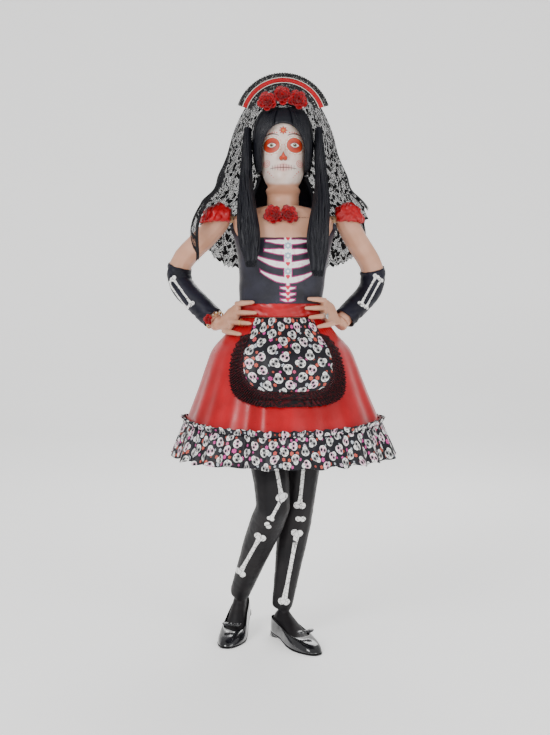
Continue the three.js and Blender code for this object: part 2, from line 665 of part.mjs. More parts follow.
function makeArm(name, { side, out, back, drop, wristOut, wristBack, grip, pitch }) {
  const group = armGroups[name];
  const shoulder = v3(side * (shoulderFace + ARM.setOut), 0, SHOULDERS.height);
  const elbow = v3(side * (shoulderFace + out), back, SHOULDERS.height - drop);
  const [waistA, , waistX] = handSurface(WRIST.height);
  const wrist = v3(waistX + side * (waistA + wristOut), wristBack, WRIST.height);
  const above = elbow.clone().lerp(shoulder, ELBOW.cut);
  const beyond = elbow.clone().lerp(wrist, ELBOW.cut);
  const bend = new THREE.CubicBezierCurve3(
    above, above.clone().lerp(elbow, ELBOW.round), beyond.clone().lerp(elbow, ELBOW.round), beyond,
  );
  const path = new CatmullRomCurve3([
    v3(side * (shoulderFace + 8), 0, SHOULDERS.height + 36),
    shoulder.clone().add(v3(side * 4, 2, 2)),
    shoulder.clone().lerp(elbow, 0.36),
    ...bend.getPoints(4),
    elbow.clone().lerp(wrist, 0.68),
    wrist,
  ]);
  const radii = through([
    [0, 12], [0.045, 25], [0.1, ARM.shoulder - 3], [0.2, ARM.shoulder], [0.42, ARM.shoulder], [0.55, ARM.elbow],
    [0.72, ARM.forearm], [1, WRIST.radius],
  ]);
  const rings = along(path, radii, v3(0, 1, 0), 10);
  const sleeveStations = [0, 0.03, 0.07, 0.12, 0.19, 0.26];
  const gauntletStations = steps(0.52, 0.965, 7);
  const stations = [...sleeveStations, 0.34, 0.4, 0.46, ...gauntletStations, 1];
  const inboard = side < 0
    ? box(-shoulderFace, FAR, -FAR, FAR, 0, 2 * FAR)
    : box(-FAR, shoulderFace, -FAR, FAR, 0, 2 * FAR);
  const socketEnd = shoulderFace + PEG.reach + 2;
  const socket = barAlongX(
    PEG.radius + 0.4, side < 0 ? -socketEnd : 0, side < 0 ? 0 : socketEnd, 0, SHOULDERS.height,
  );
  piece(`${name}_arm`, cut(capped(stations.map((t) => rings(t))), inboard, socket), SKIN, group);

  const bulge = through([[0, 19], [0.07, 24], [0.16, 15], [0.26, 3]]);
  const loosely = (t, grow) => rings(t, grow(t));
  const sleeve = tube(loosely, sleeveStations, () => CLEAR, (t) => bulge(t)[0]);
  const armhole = barAlongX(PEG.radius + 8, -shoulderFace - 20, shoulderFace + 20, 0, SHOULDERS.height);
  const below = box(-FAR, FAR, -FAR, FAR, 0, SHOULDERS.height - 8);
  piece(`${name}_puff_sleeve`, cut(sleeve, inboard, armhole, below), SATIN, group);

  const loose = through([[0.46, 2.2], [0.6, 2.6], [0.8, 4], [0.97, 7]]);
  const glove = tube(loosely, gauntletStations, (t) => loose(t)[0] - KNIT, (t) => loose(t)[0]);
  piece(`${name}_gauntlet`, glove, BLACK_KNIT, group);
  return { group, side, path, rings, wrist, grip, pitch };
}

// Each finger lies round the waist, from the knuckles to its tip, at its own height.
function fingerPath({ side, grip, pitch }, row) {
  const height = grip + pitch * (1.5 - row);
  const turnsRound = steps(FINGER.from + 6, FINGER.to - FINGER_REACH[row], 3);
  const under = (z) => handSurface(z - FINGER.radius);
  const points = turnsRound.map((turn, i) =>
    dressed(under, side * turn, height - 1.5 * i * (row - 1), FINGER.radius + COVER + (i === 0 ? 4 : 1)),
  );
  return new CatmullRomCurve3(points);
}

function makeHand(name, arm) {
  const { side, group, rings, path, wrist, grip } = arm;
  const ahead = path.getTangentAt(1);
  const up = v3(0, 0, 1);
  const cuff = rings(1, -0.5).map((p) => p.addScaledVector(ahead, CLEAR));
  const across = new Vector3().crossVectors(up, ahead).normalize();
  const upright = new Vector3().crossVectors(ahead, across);
  const angles = cuff.map((p) => {
    const from = p.clone().sub(wrist);
    return Math.atan2(from.dot(upright), from.dot(across));
  });
  const outwards = Math.sign(across.x * side); // 1 when the ring's across axis points away from the waist
  // A flat section of the palm that lies on the waist, at an angle round it.
  const section = (turn, middle, tall, thick, lift) =>
    angles.map((angle) =>
      dressed(
        handSurface,
        side * turn,
        middle + tall * Math.sin(angle),
        lift + thick * (1 + outwards * Math.cos(angle)),
      ),
    );
  const heel = cuff.map((p) => p.clone().sub(wrist).multiplyScalar(0.96).add(wrist).addScaledVector(ahead, 12));
  const palm = capped([
    cuff,
    heel,
    section(FINGER.from + 24, grip - 6, 31, 13, 12),
    section(FINGER.from + 13, grip - 2, 36, 11, 5),
    section(FINGER.from, grip, 1.5 * arm.pitch + FINGER.radius, FINGER.radius, COVER),
  ]);
  const thin = through([[0, FINGER.radius], [0.75, FINGER.radius - 0.6], [1, FINGER.tip]]);
  const fingers = FINGER_REACH.map((_, row) =>
    capped([0, 0.4, 0.9, 1].map((t) => along(fingerPath(arm, row), thin, up, 7)(t))),
  );
  const thumbAt = (turn, z) => dressed(handSurface, side * turn, z, 12);
  const thumb = new CatmullRomCurve3([
    thumbAt(FINGER.from + 10, grip + 6),
    thumbAt(FINGER.from + 18, grip + 22),
    thumbAt(FINGER.from + 27, grip + 30),
  ]);
  const thumbRadii = through([[0, 10], [0.5, 9], [0.9, 7.5], [1, 4]]);
  const thumbTube = capped([0, 0.45, 0.93, 1].map((t) => along(thumb, thumbRadii, up, 7)(t)));
  piece(`${name}_hand`, join(palm, thumbTube, ...fingers), SKIN, group);
}

// A ring on one finger, square to it, with its stone on the outer side.
function fingerRing(name, arm, row, at, stone) {
  const curve = fingerPath(arm, row);
  const centre = curve.getPointAt(at);
  const band = new THREE.TorusGeometry(FINGER.radius + 2.2, 1.1, 6, 14);
  const facing = new THREE.Quaternion().setFromUnitVectors(v3(0, 0, 1), curve.getTangentAt(at));
  band.applyQuaternion(facing).translate(centre.x, centre.y, centre.z);
  piece(name, band, stone ? SILVER : GOLD, arm.group);
  if (!stone) return;
  const outside = v3(centre.x, centre.y, 0).sub(v3(WAIST.aside, 0, 0)).normalize();
  const seat = centre.clone().addScaledVector(outside, FINGER.radius + 4 + stone.thick);
  const bezel = blob(stone.thick, stone.wide, stone.tall);
  bezel.rotateZ(Math.atan2(outside.y, outside.x)).translate(seat.x, seat.y, seat.z);
  piece(`${name}_stone`, bezel, SILVER, arm.group);
}

const rightArm = makeArm("right", ARMS.right);
const leftArm = makeArm("left", ARMS.left);
makeHand("right", rightArm);
makeHand("left", leftArm);
fingerRing("right_ring", rightArm, 2, 0.62, null);
fingerRing("left_ring", leftArm, 2, 0.36, { thick: 3, wide: 8, tall: 9.5 });

function bracelet() {
  const ahead = rightArm.path.getTangentAt(0.985);
  const centre = rightArm.path.getPointAt(0.985);
  const loop = new THREE.TorusGeometry(WRIST.radius + 4, 2, 6, 18);
  const facing = new THREE.Quaternion().setFromUnitVectors(v3(0, 0, 1), ahead);
  loop.applyQuaternion(facing).translate(centre.x, centre.y, centre.z);
  piece("bracelet", loop, GOLD, rightArm.group);
  const outside = v3(-0.35, -1, -0.1);
  outside.addScaledVector(ahead, -outside.dot(ahead)).normalize();
  const seat = centre.clone().addScaledVector(outside, WRIST.radius + 15);
  const flower = blob(13, 7, 13).applyQuaternion(
    new THREE.Quaternion().setFromUnitVectors(v3(0, -1, 0), outside),
  );
  piece("bracelet_rose", flower.translate(seat.x, seat.y, seat.z), ROSE_RED, rightArm.group);
}
bracelet();

// ---- Head, wig and crown ----

function head() {
  const neckStations = [NECK.height - NECK.sunk, NECK.height - 4, NECK.height + 18, headAt(-0.06)];
  const skullStations = [0, 0.06, 0.13, 0.2, 0.29, 0.38, 0.47, 0.56, 0.64, 0.72, 0.79, 0.86].map(headAt);
  const shell = capped([
    ...[...neckStations, ...skullStations].toReversed().map((z) => headRings(z, -PAPER)),
    ...[...neckStations, ...skullStations, headAt(0.91), headAt(0.95), headAt(0.98), crownTop]
      .map((z) => headRings(z)),
  ]);
  const nose = blob(10, 15, 24).translate(0, -headProfile(headAt(0.34))[1] + 2, headAt(0.36));
  const inside = capped(skullStations.map((z) => headRings(z, -PAPER)));
  piece("head", join(shell, geometryOf(solid(nose).subtract(solid(inside)))), FACE, headGroup);

  const plug = capped([NECK.height - 16, NECK.height - 4].map((z) => headRings(z, -PAPER - CLEAR)));
  const hole = barAlongZ(POST + 0.4, 0, 2 * FAR, bodyMiddle.x, bodyMiddle.y);
  piece("neck_bush", cut(plug, hole), WOOD, headGroup);
}
head();

const wigProfile = through(
  headRows.slice(3).map(([z, a, b, x, y]) => [
    z + WIG.thick * smoothstep(z, headAt(0.5), crownTop), a + WIG.thick, b + WIG.thick, x, y,
  ]),
);

function wig() {
  const lift = 1.5;
  const inner = (z) => headRings(z - lift, 1.2).map((p) => p.add(v3(0, 0, lift)));
  const outer = levels(wigProfile, 14);
  const innerStations = [
    ...steps(wigRim, headAt(0.86), 6), headAt(0.91), headAt(0.95), headAt(0.98), crownTop + lift,
  ];
  const outerStations = [...steps(wigRim, headAt(0.86), 6), headAt(0.95), crownTop, crownTop + WIG.thick];
  const shell = capped([
    ...innerStations.toReversed().map(inner),
    ...outerStations.map((z) => outer(z)),
  ]);
  const windowZ = crownTop - WIG.hairline - 78;
  const faceWindow = new THREE.CylinderGeometry(1, 1, 2 * FAR, 20)
    .scale(WIG.faceHalfWidth, 1, 78).translate(0, -FAR - 30, windowZ);
  const below = box(-WIG.faceHalfWidth, WIG.faceHalfWidth, -FAR, -30, wigRim - 20, windowZ);
  piece("wig_cap", cut(shell, faceWindow, below), HAIR, headGroup);

  const locks = {
    right: [
      [-101, 0, 1462], [-103, -12, 1400], [-106, -38, 1310],
      [-101, -84, 1230], [-93, -112, 1150], [-90, -122, 1078],
    ],
    left: [
      [101, 0, 1462], [103, -12, 1400], [108, -38, 1310],
      [106, -84, 1230], [97, -112, 1150], [93, -122, 1052],
    ],
  };
  for (const [name, points] of Object.entries(locks)) {
    const rise = crownTop - 1515; // the locks go up and down with the head
    const path = new CatmullRomCurve3(points.map(([x, y, z]) => v3(x, y, z + rise)));
    const radii = through([
      [0, 9, 34], [0.15, 13, 46], [0.4, 17, 36], [0.65, 27, 17], [0.85, 29, 13], [1, 18, 8],
    ]);
    const rings = along(path, radii, v3(0, 1, 0), 12);
    piece(`wig_lock_${name}`, capped(steps(0, 1, 9).map((t) => rings(t))), HAIR, headGroup);
  }
  const fall = sheet(8, 6, (x, y, z) => {
    const down = 1 - y;
    const flat = smoothstep(down, 0, 0.45); // opens out from the head to pass behind the shoulders
    const [a, b, , middle] = wigProfile(wigRim);
    const grow = lerp(-WIG.thick + 2, 3, z);
    const angle = degToRad(lerp(-1, 1, x) * lerp(68, 38, flat));
    return v3(
      (lerp(a, 142, flat) + grow) * Math.sin(angle),
      lerp(middle, 0, flat) + (lerp(b, 118, flat) + grow) * Math.cos(angle),
      wigRim - CLEAR - 225 * down,
    );
  });
  piece("wig_back_fall", fall, HAIR, headGroup);
}
wig();

// A flat arc of the crown, between two radii, standing at a depth.
const arc = (inner, outer, y, thick, columns = 14) =>
  sheet(columns, 1, (x, up, z) => {
    const angle = degToRad(lerp(-CROWN.spread, CROWN.spread, x));
    const radius = lerp(inner, outer, up);
    return v3(radius * Math.sin(angle), y - thick * z, crownZ + radius * Math.cos(angle));
  });

function crown() {
  const stand = BAND + 2.5;
  const low = headAt(0.6);
  const half = (z) => {
    const [a, b, , y] = wigProfile(z);
    return a * Math.sqrt(Math.max(0, 1 - ((CROWN.y - y) / b) ** 2));
  };
  const centre = v3(0, CROWN.y, low);
  const over = steps(low, crownTop + WIG.thick, 60).filter((z) => half(z) > 0).map((z) => {
    const out = v3(half(z), CROWN.y, z).sub(centre);
    return out.setLength(out.length() + stand).add(centre);
  });
  const sides = over.filter((_, i) => i % 8 === 0 || i === over.length - 1);
  const top = over.at(-1).z;
  const path = new CatmullRomCurve3([
    ...sides.map((p) => v3(-p.x, p.y, p.z)),
    ...sides.toReversed(),
  ]);
  const rings = along(path, () => [BAND], v3(0, 1, 0), 8);
  piece("headband", capped(steps(0, 1, 16).map((t) => rings(t))), LACE, headGroup);

  const backing = sheet(4, 1, (x, up, z) => {
    const across = lerp(-38, 38, x);
    const bottom = top + BAND + 2;
    const high = crownZ + Math.sqrt(CROWN.inner ** 2 - across ** 2) - 2;
    return v3(across, CROWN.y - CROWN.thick * z, lerp(bottom, high, up));
  });
  piece("crown_backing", backing, LACE, headGroup);
  piece("crown_fan", arc(CROWN.inner, CROWN.outer, CROWN.y, CROWN.thick), LACE, headGroup);
  const ribbonY = CROWN.y - CROWN.thick - CLEAR;
  piece("crown_ribbon", arc(RIBBON.inner, RIBBON.outer, ribbonY, CLOTH), SATIN, headGroup);

  const [, b, , y] = wigProfile(crownTop - 4);
  const roseY = Math.min(y - b - ROSE.deep - 3, CROWN.y - 20);
  for (const [name, x, rise] of [["right", -48, 16], ["middle", -3, 33], ["left", 43, 21]]) {
    const bloom = rose().translate(x, roseY, crownTop + rise);
    piece(`crown_rose_${name}`, bloom, ROSE_RED, headGroup);
  }
}
crown();

// ---- Veil ----

function veil() {
  const rise = crownTop - 1515; // the veil goes up and down with the head
  const profile = through([
    [SHOULDERS.height - 120, 264, 128],
    [SHOULDERS.height + 10, 254, 128],
    [SHOULDERS.height + 58, 224, 128],
    [1291 + rise, 196, 130],
    [1334 + rise, 182, 134],
    [1378 + rise, 163, 138],
    [1449 + rise, 142, 146],
    [1515 + rise, 111, 138],
    [1560 + rise, 80, 88],
    [1586 + rise, 36, 44],
    [1592 + rise, 14, 18],
  ]);
  const middleY = through([[SHOULDERS.height, 18], [1378 + rise, 4], [1515 + rise, CROWN.y + 6]]);
  // How low the veil hangs at an angle round from the back: long behind, resting on each shoulder.
  const onArm = SHOULDERS.height + 24;
  const hangs = through([
    [VEIL.right, 1085], [-114, 1092], [-100, onArm], [-74, onArm], [-58, 1150], [-40, 1090], [0, 1082],
    [40, 1090], [58, 1140], [74, onArm], [VEIL.left, onArm],
  ]);
  const made = sheet(16, 12, (x, y, z) => {
    const share = lerp(VEIL.right, VEIL.left, x);
    const height = lerp(hangs(share)[0], 1592 + rise, y);
    const narrow = smoothstep(height, 1330 + rise, 1500 + rise);
    const angle = degToRad(share * lerp(1, 90 / (share < 0 ? -VEIL.right : VEIL.left), narrow));
    const [a, b] = profile(height);
    const power = 2 / lerp(VEIL.corner, 2, narrow);
    const [sin, cos] = [Math.sin(angle), Math.cos(angle)];
    return v3(
      (a + CLOTH * z) * Math.sign(sin) * Math.abs(sin) ** power,
      middleY(height)[0] + (b + CLOTH * z) * Math.sign(cos) * Math.abs(cos) ** power,
      height,
    );
  });
  piece("veil", made, LACE, headGroup);
}
veil();

// The origin is the middle of the bounding box, on the floor.
const bounds = new THREE.Box3().setFromObject(figure);
const middle = bounds.getCenter(new Vector3());
figure.position.set(-middle.x, -middle.y, -bounds.min.z);

export default figure;
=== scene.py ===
# %% [markdown]
# # A papier-mache catrina
# A dressed figure stands with its hands on its waist. The paper shells, armature and joints come ready
# made as a fixed frame, in metres. This lesson dresses that frame: every garment, strand and petal is a
# mesh of its own, and every finish is a node material.

# %% Load the frame
import math

import bmesh
import bpy
import numpy as np
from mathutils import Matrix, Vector, noise


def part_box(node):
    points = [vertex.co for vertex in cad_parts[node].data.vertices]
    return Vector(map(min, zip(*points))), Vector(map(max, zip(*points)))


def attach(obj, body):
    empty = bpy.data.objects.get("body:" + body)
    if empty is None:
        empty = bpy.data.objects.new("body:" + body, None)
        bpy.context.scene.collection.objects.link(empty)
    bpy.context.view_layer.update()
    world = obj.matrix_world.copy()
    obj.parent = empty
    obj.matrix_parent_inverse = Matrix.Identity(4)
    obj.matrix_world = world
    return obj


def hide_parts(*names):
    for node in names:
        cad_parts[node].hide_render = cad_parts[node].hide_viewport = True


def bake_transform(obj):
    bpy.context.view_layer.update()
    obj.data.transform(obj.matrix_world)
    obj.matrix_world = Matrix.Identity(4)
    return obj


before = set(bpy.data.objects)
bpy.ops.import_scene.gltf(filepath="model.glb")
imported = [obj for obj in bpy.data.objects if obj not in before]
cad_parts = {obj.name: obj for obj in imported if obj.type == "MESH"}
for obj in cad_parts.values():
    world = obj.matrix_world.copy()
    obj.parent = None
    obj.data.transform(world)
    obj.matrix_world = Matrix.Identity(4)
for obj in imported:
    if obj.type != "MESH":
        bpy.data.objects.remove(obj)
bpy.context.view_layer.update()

# %% [markdown]
# ## Camera, floor and light
# The figure is seen from the front at chest height. A long lens keeps it nearly flat, and a small shift
# looks down at the feet without leaning the uprights. Large soft lamps give satin and hair their long
# highlights.

# %% Camera
LENS = 51.2
MIDDLE_X = 0.018


def make_camera():
    data = bpy.data.cameras.new("camera")
    data.lens = LENS
    data.shift_y = -0.08
    data.clip_end = 60
    camera = bpy.data.objects.new("camera", data)
    camera.location = (-0.005, -3.0, 0.95)
    camera.rotation_euler = (math.radians(90), 0, 0)
    bpy.context.scene.collection.objects.link(camera)
    bpy.context.scene.camera = camera


make_camera()
print("camera ready")


# %% Lamps
def soft_lamp(name, place, aim, size, power):
    data = bpy.data.lights.new(name, "AREA")
    data.shape = "RECTANGLE"
    data.size, data.size_y = size
    data.energy = power
    lamp = bpy.data.objects.new(name, data)
    lamp.location = place
    lamp.rotation_euler = (Vector(aim) - Vector(place)).to_track_quat("-Z", "Y").to_euler()
    bpy.context.scene.collection.objects.link(lamp)


soft_lamp("key_lamp", (-2.3, -3.2, 2.9), (0, 0, 1.0), (1.6, 1.6), 105)
soft_lamp("fill_lamp", (2.6, -3.0, 1.7), (0, 0, 0.9), (2.2, 2.2), 62)
soft_lamp("back_lamp", (0.6, 2.8, 2.9), (0, 0, 1.1), (2.4, 1.4), 70)
soft_lamp("front_lamp", (0.0, -4.2, 0.9), (0, 0, 0.8), (3.0, 1.6), 30)


def make_world():
    world = bpy.data.worlds.new("studio")
    world.use_nodes = True
    world.node_tree.nodes["Background"].inputs["Color"].default_value = (1, 1, 1, 1)
    world.node_tree.nodes["Background"].inputs["Strength"].default_value = 0.62
    bpy.context.scene.world = world


make_world()
print("four soft lamps and a white room")


# %% [markdown]
# ## A small language for finishes
# A node material is a network, but its sums read best as sums. A `Value` wraps one socket and turns
# Python arithmetic into Math nodes. A `Look` owns one material and makes every other node by one
# method.

# %% Values and looks
class Value:
    def __init__(self, look, socket):
        self.look = look
        self.socket = socket

    def math(self, operation, *others):
        inputs = dict(enumerate((self, *others)))
        return self.look.node("Math", {"operation": operation}, inputs)

    def __add__(self, other):
        return self.math("ADD", other)

    def __sub__(self, other):
        return self.math("SUBTRACT", other)

    def __rsub__(self, other):
        return self.look.node("Math", {"operation": "SUBTRACT"}, {0: other, 1: self})

    def __mul__(self, other):
        return self.math("MULTIPLY", other)

    def __truediv__(self, other):
        return self.math("DIVIDE", other)

    def __abs__(self):
        return self.math("ABSOLUTE")

    def __neg__(self):
        return self.math("MULTIPLY", -1.0)

    __radd__ = __add__
    __rmul__ = __mul__


class Look:
    def __init__(self, name, constants=None):
        self.material = bpy.data.materials.new(name)
        self.material.use_nodes = True
        self.tree = self.material.node_tree
        self.shader = self.tree.nodes["Principled BSDF"]
        for socket, value in (constants or {}).items():
            self.shader.inputs[socket].default_value = value

    def node(self, kind, settings=None, inputs=None, out=0):
        made = self.tree.nodes.new("ShaderNode" + kind)
        for name, value in (settings or {}).items():
            setattr(made, name, value)
        for key, value in (inputs or {}).items():
            if isinstance(value, Value):
                self.tree.links.new(value.socket, made.inputs[key])
            else:
                made.inputs[key].default_value = value
        return Value(self, made.outputs[out])

    def set(self, socket, value):
        self.tree.links.new(value.socket, self.shader.inputs[socket])

    def place(self):
        return self.node("TexCoord", out="Object")

    def map(self):
        return self.node("UVMap", {"uv_map": "UVMap"})

    def split(self, vector):
        made = self.node("SeparateXYZ", inputs={0: vector})
        return [Value(self, socket) for socket in made.socket.node.outputs]

    def join(self, x, y, z=0.0):
        return self.node("CombineXYZ", inputs={0: x, 1: y, 2: z})

    def mix(self, share, low, high):
        colours = {0: share, 6: low, 7: high}
        return self.node("Mix", {"data_type": "RGBA"}, colours, out=2)

    def ease(self, value, start, end, low=0.0, high=1.0):
        inputs = {0: value, 1: start, 2: end, 3: low, 4: high}
        return self.node("MapRange", {"interpolation_type": "SMOOTHSTEP"}, inputs)

    def mottle(self, place, size, detail=3.0):
        inputs = {"Vector": place, "Scale": 1 / size, "Detail": detail}
        return self.node("TexNoise", inputs=inputs)

    def within(self, distance, edge):
        return self.ease(distance, edge, -edge)

    def bump(self, *layers):
        """Each layer is a height from 0 to 1 and its depth in metres; they lie over each other."""
        normal = None
        for height, depth in layers:
            inputs = {"Height": height, "Distance": depth, "Strength": 1.0}
            if normal:
                inputs["Normal"] = normal
            normal = self.node("Bump", inputs=inputs)
        self.set("Normal", normal)


def colour(red, green, blue):
    return (red, green, blue, 1.0)


def radius_of(x, y):
    return (x * x + y * y).math("SQRT")


WHITE = colour(0.86, 0.85, 0.83)
INK = colour(0.008, 0.008, 0.012)
print("values add, looks hold")


# %% [markdown]
# ## Meshes from sheets, and from the frame itself
# Cloth is a grid that a function lays out, so its cloth map in metres comes with it. A rounded body
# starts as a copy of its frame part, merged, rebuilt in even small faces, smoothed, and then worked
# like clay.

# %% Mesh helpers
def add(name, points, faces, uvs=None):
    mesh = bpy.data.meshes.new(name)
    mesh.from_pydata([tuple(p) for p in points], [], faces)
    mesh.update()
    if uvs is not None:
        layer = mesh.uv_layers.new(name="UVMap")
        layer.data.foreach_set("uv", np.asarray(uvs, float).ravel())
    made = bpy.data.objects.new(name, mesh)
    bpy.context.scene.collection.objects.link(made)
    mesh.shade_smooth()
    return made


def settle(made):
    """Applies the modifiers of a piece."""
    bpy.context.view_layer.update()
    graph = bpy.context.evaluated_depsgraph_get()
    mesh = bpy.data.meshes.new_from_object(made.evaluated_get(graph))
    made.modifiers.clear()
    made.data = mesh
    return made


def modify(made, kind, **settings):
    modifier = made.modifiers.new(kind.lower(), kind)
    for name, value in settings.items():
        setattr(modifier, name, value)
    return settle(made)


def thicken(made, thickness, offset=-1.0):
    return modify(made, "SOLIDIFY", thickness=thickness, offset=offset)


def grid(name, columns, rows, place, size, closed=False):
    """A sheet whose place gives x, y and z for shares s across and t up; size gives its map in metres."""
    s, t = np.meshgrid(np.linspace(0, 1, columns + 1), np.linspace(0, 1, rows + 1))
    x, y, z = place(s, t)
    points = np.stack([x, y, z], -1)
    used = columns if closed else columns + 1
    points = points[:, :used].reshape(-1, 3)
    wide, tall = size
    faces, uvs = [], []
    for j in range(rows):
        for i in range(columns):
            corners = [(i, j), (i + 1, j), (i + 1, j + 1), (i, j + 1)]
            faces.append([b * used + a % used for a, b in corners])
            uvs += [(wide * a / columns, tall * b / rows) for a, b in corners]
    return add(name, points, faces, uvs)


def points_of(made):
    flat = np.zeros(len(made.data.vertices) * 3)
    made.data.vertices.foreach_get("co", flat)
    return flat.reshape(-1, 3)


def move_points(made, points):
    made.data.vertices.foreach_set("co", points.ravel())
    made.data.update()


def normals_of(made):
    flat = np.zeros(len(made.data.vertices) * 3)
    made.data.vertices.foreach_get("normal", flat)
    return flat.reshape(-1, 3)


def copy_of(node, name):
    """A merged copy of a frame part."""
    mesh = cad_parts[node].data.copy()
    mesh.materials.clear()
    made = bpy.data.objects.new(name, mesh)
    bpy.context.scene.collection.objects.link(made)
    return modify(made, "WELD", merge_threshold=0.00002)


def clay(node, name, grain, smooth=6):
    """A frame part rebuilt in even faces and smoothed."""
    made = copy_of(node, name)
    modify(made, "REMESH", mode="VOXEL", voxel_size=grain, use_smooth_shade=True)
    modify(made, "SMOOTH", factor=0.5, iterations=smooth)
    made.data.shade_smooth()
    return made


def swell(made, height):
    """Pushes every point along its normal by a function of the points."""
    points, normals = points_of(made), normals_of(made)
    move_points(made, points + normals * height(points)[:, None])
    return made


def ripple(points, size, seed=0.0):
    """Soft uneven waves from -1 to 1."""
    shift = Vector((seed, 1.7 * seed, 2.3 * seed))
    return np.array([noise.noise(Vector(p) / size + shift) for p in points])


def bell(value, middle, width):
    return np.exp(-(((value - middle) / width) ** 2))


def ease(value, start, end):
    t = np.clip((value - start) / (end - start), 0, 1)
    return t * t * (3 - 2 * t)


def finish_piece(made, look, body, slot, *nodes):
    made.data.materials.clear()
    made.data.materials.append(look.material)
    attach(made, body)
    if nodes:
        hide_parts(*nodes)
    print(made.name, len(made.data.polygons), "faces")
    return made


def levels(node):
    """Height, half width, half depth and middle of each level ring of a frame part."""
    points = points_of(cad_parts[node])
    heights = np.round(points[:, 2], 4)
    rows = []
    for z in np.unique(heights):
        ring = points[heights == z]
        if len(ring) >= 8:
            low, high = ring.min(0), ring.max(0)
            rows.append([z, *((high - low) / 2)[:2], *((high + low) / 2)[:2]])
    return np.array(rows)


def profile(*nodes):
    """A smooth curve through the level rings, as half width, half depth and middle at a height."""
    rows = np.concatenate([levels(node) for node in nodes])
    rows = rows[np.argsort(rows[:, 0])]
    rows = rows[np.append(True, np.diff(rows[:, 0]) > 0.002)]
    heights = rows[:, 0]
    slopes = np.gradient(rows[:, 1:], heights, axis=0)

    def at(z):
        z = np.clip(z, heights[0], heights[-1])
        i = np.clip(np.searchsorted(heights, z) - 1, 0, len(heights) - 2)
        span = (heights[i + 1] - heights[i])[..., None]
        t = ((z - heights[i])[..., None]) / span
        low, high = rows[i, 1:], rows[i + 1, 1:]
        curve = low + (high - low) * t * t * (3 - 2 * t)
        curve = curve + t * (1 - t) * span * ((1 - t) * slopes[i] - t * slopes[i + 1])
        return np.moveaxis(curve, -1, 0)

    return at


torso_at = profile("bodice")
skirt_at = profile("skirt")


def round_body(at, turn, z, grow=0.0):
    """A point round a body: turn in degrees from the front, towards the figure's left hand."""
    a, b, x, y = at(z)
    angle = np.radians(turn)
    return x + (a + grow) * np.sin(angle), y - (b + grow) * np.cos(angle), z


print("waist half width", round(float(torso_at(np.array(0.945))[0]), 4))

# %% [markdown]
# ## Finishes of the cloth
# Satin is smooth and bright, with a fine weave and slow folds of light. Stretch knit is dull with a
# soft edge of light. Both are one colour that small noises make uneven, because dyed cloth is never
# quite flat.

# %% Satin and knit
WEAVE = 0.0011


def satin(name, low, high):
    look = Look(name, {"Specular IOR Level": 0.35})
    place = look.place()
    cloudy = look.mottle(place, 0.09, 4)
    look.set("Base Color", look.mix(look.ease(cloudy, 0.3, 0.7), low, high))
    look.set("Roughness", look.ease(look.mottle(place, 0.02), 0.2, 0.8, 0.27, 0.4))
    look.bump((cloudy, 0.0006), (look.mottle(place, WEAVE, 1), 0.00005))
    return look


def knit(name, low, high, shine):
    look = Look(name, {"Sheen Weight": 0.03, "Sheen Roughness": 0.4, "Specular IOR Level": 0.2})
    place = look.place()
    cloudy = look.mottle(place, 0.05, 5)
    look.set("Base Color", look.mix(look.ease(cloudy, 0.3, 0.7), low, high))
    look.set("Roughness", look.ease(look.mottle(place, 0.015), 0.2, 0.8, shine, shine + 0.14))
    look.bump((look.mottle(place, 0.012, 3), 0.0007), (look.mottle(place, WEAVE, 1), 0.0001))
    return look


red_satin = satin("red_satin", colour(0.3, 0.0005, 0.003), colour(0.44, 0.001, 0.008))
dark_knit = knit("black_knit", colour(0.003, 0.003, 0.006), colour(0.009, 0.009, 0.016), 0.46)
print("satin and knit")

# %% [markdown]
# ## The sugar-skull print
# A printed cloth repeats one motif in many turns. The cloth map is cut into staggered cells, white
# noise deals each cell an angle and a colour, and a few distances draw a skull. Small dots and flowers
# fill a finer grid.

# %% Skull print
SKULL_CELL = 0.036
PINK = colour(0.62, 0.06, 0.3)
CORAL = colour(0.55, 0.09, 0.06)
MIST = colour(0.5, 0.55, 0.6)


def cells(look, across, up, size):
    """Staggered cells: coordinates from the middle of each, three dice, each cell its own."""
    row = (up / size).math("FLOOR")
    shifted = across / size + row * 0.5
    column = shifted.math("FLOOR")
    dealt = look.node("TexWhiteNoise", inputs={"Vector": look.join(column, row, size * 31)}, out=1)
    return shifted - column - 0.5, up / size - row - 0.5, look.split(dealt)


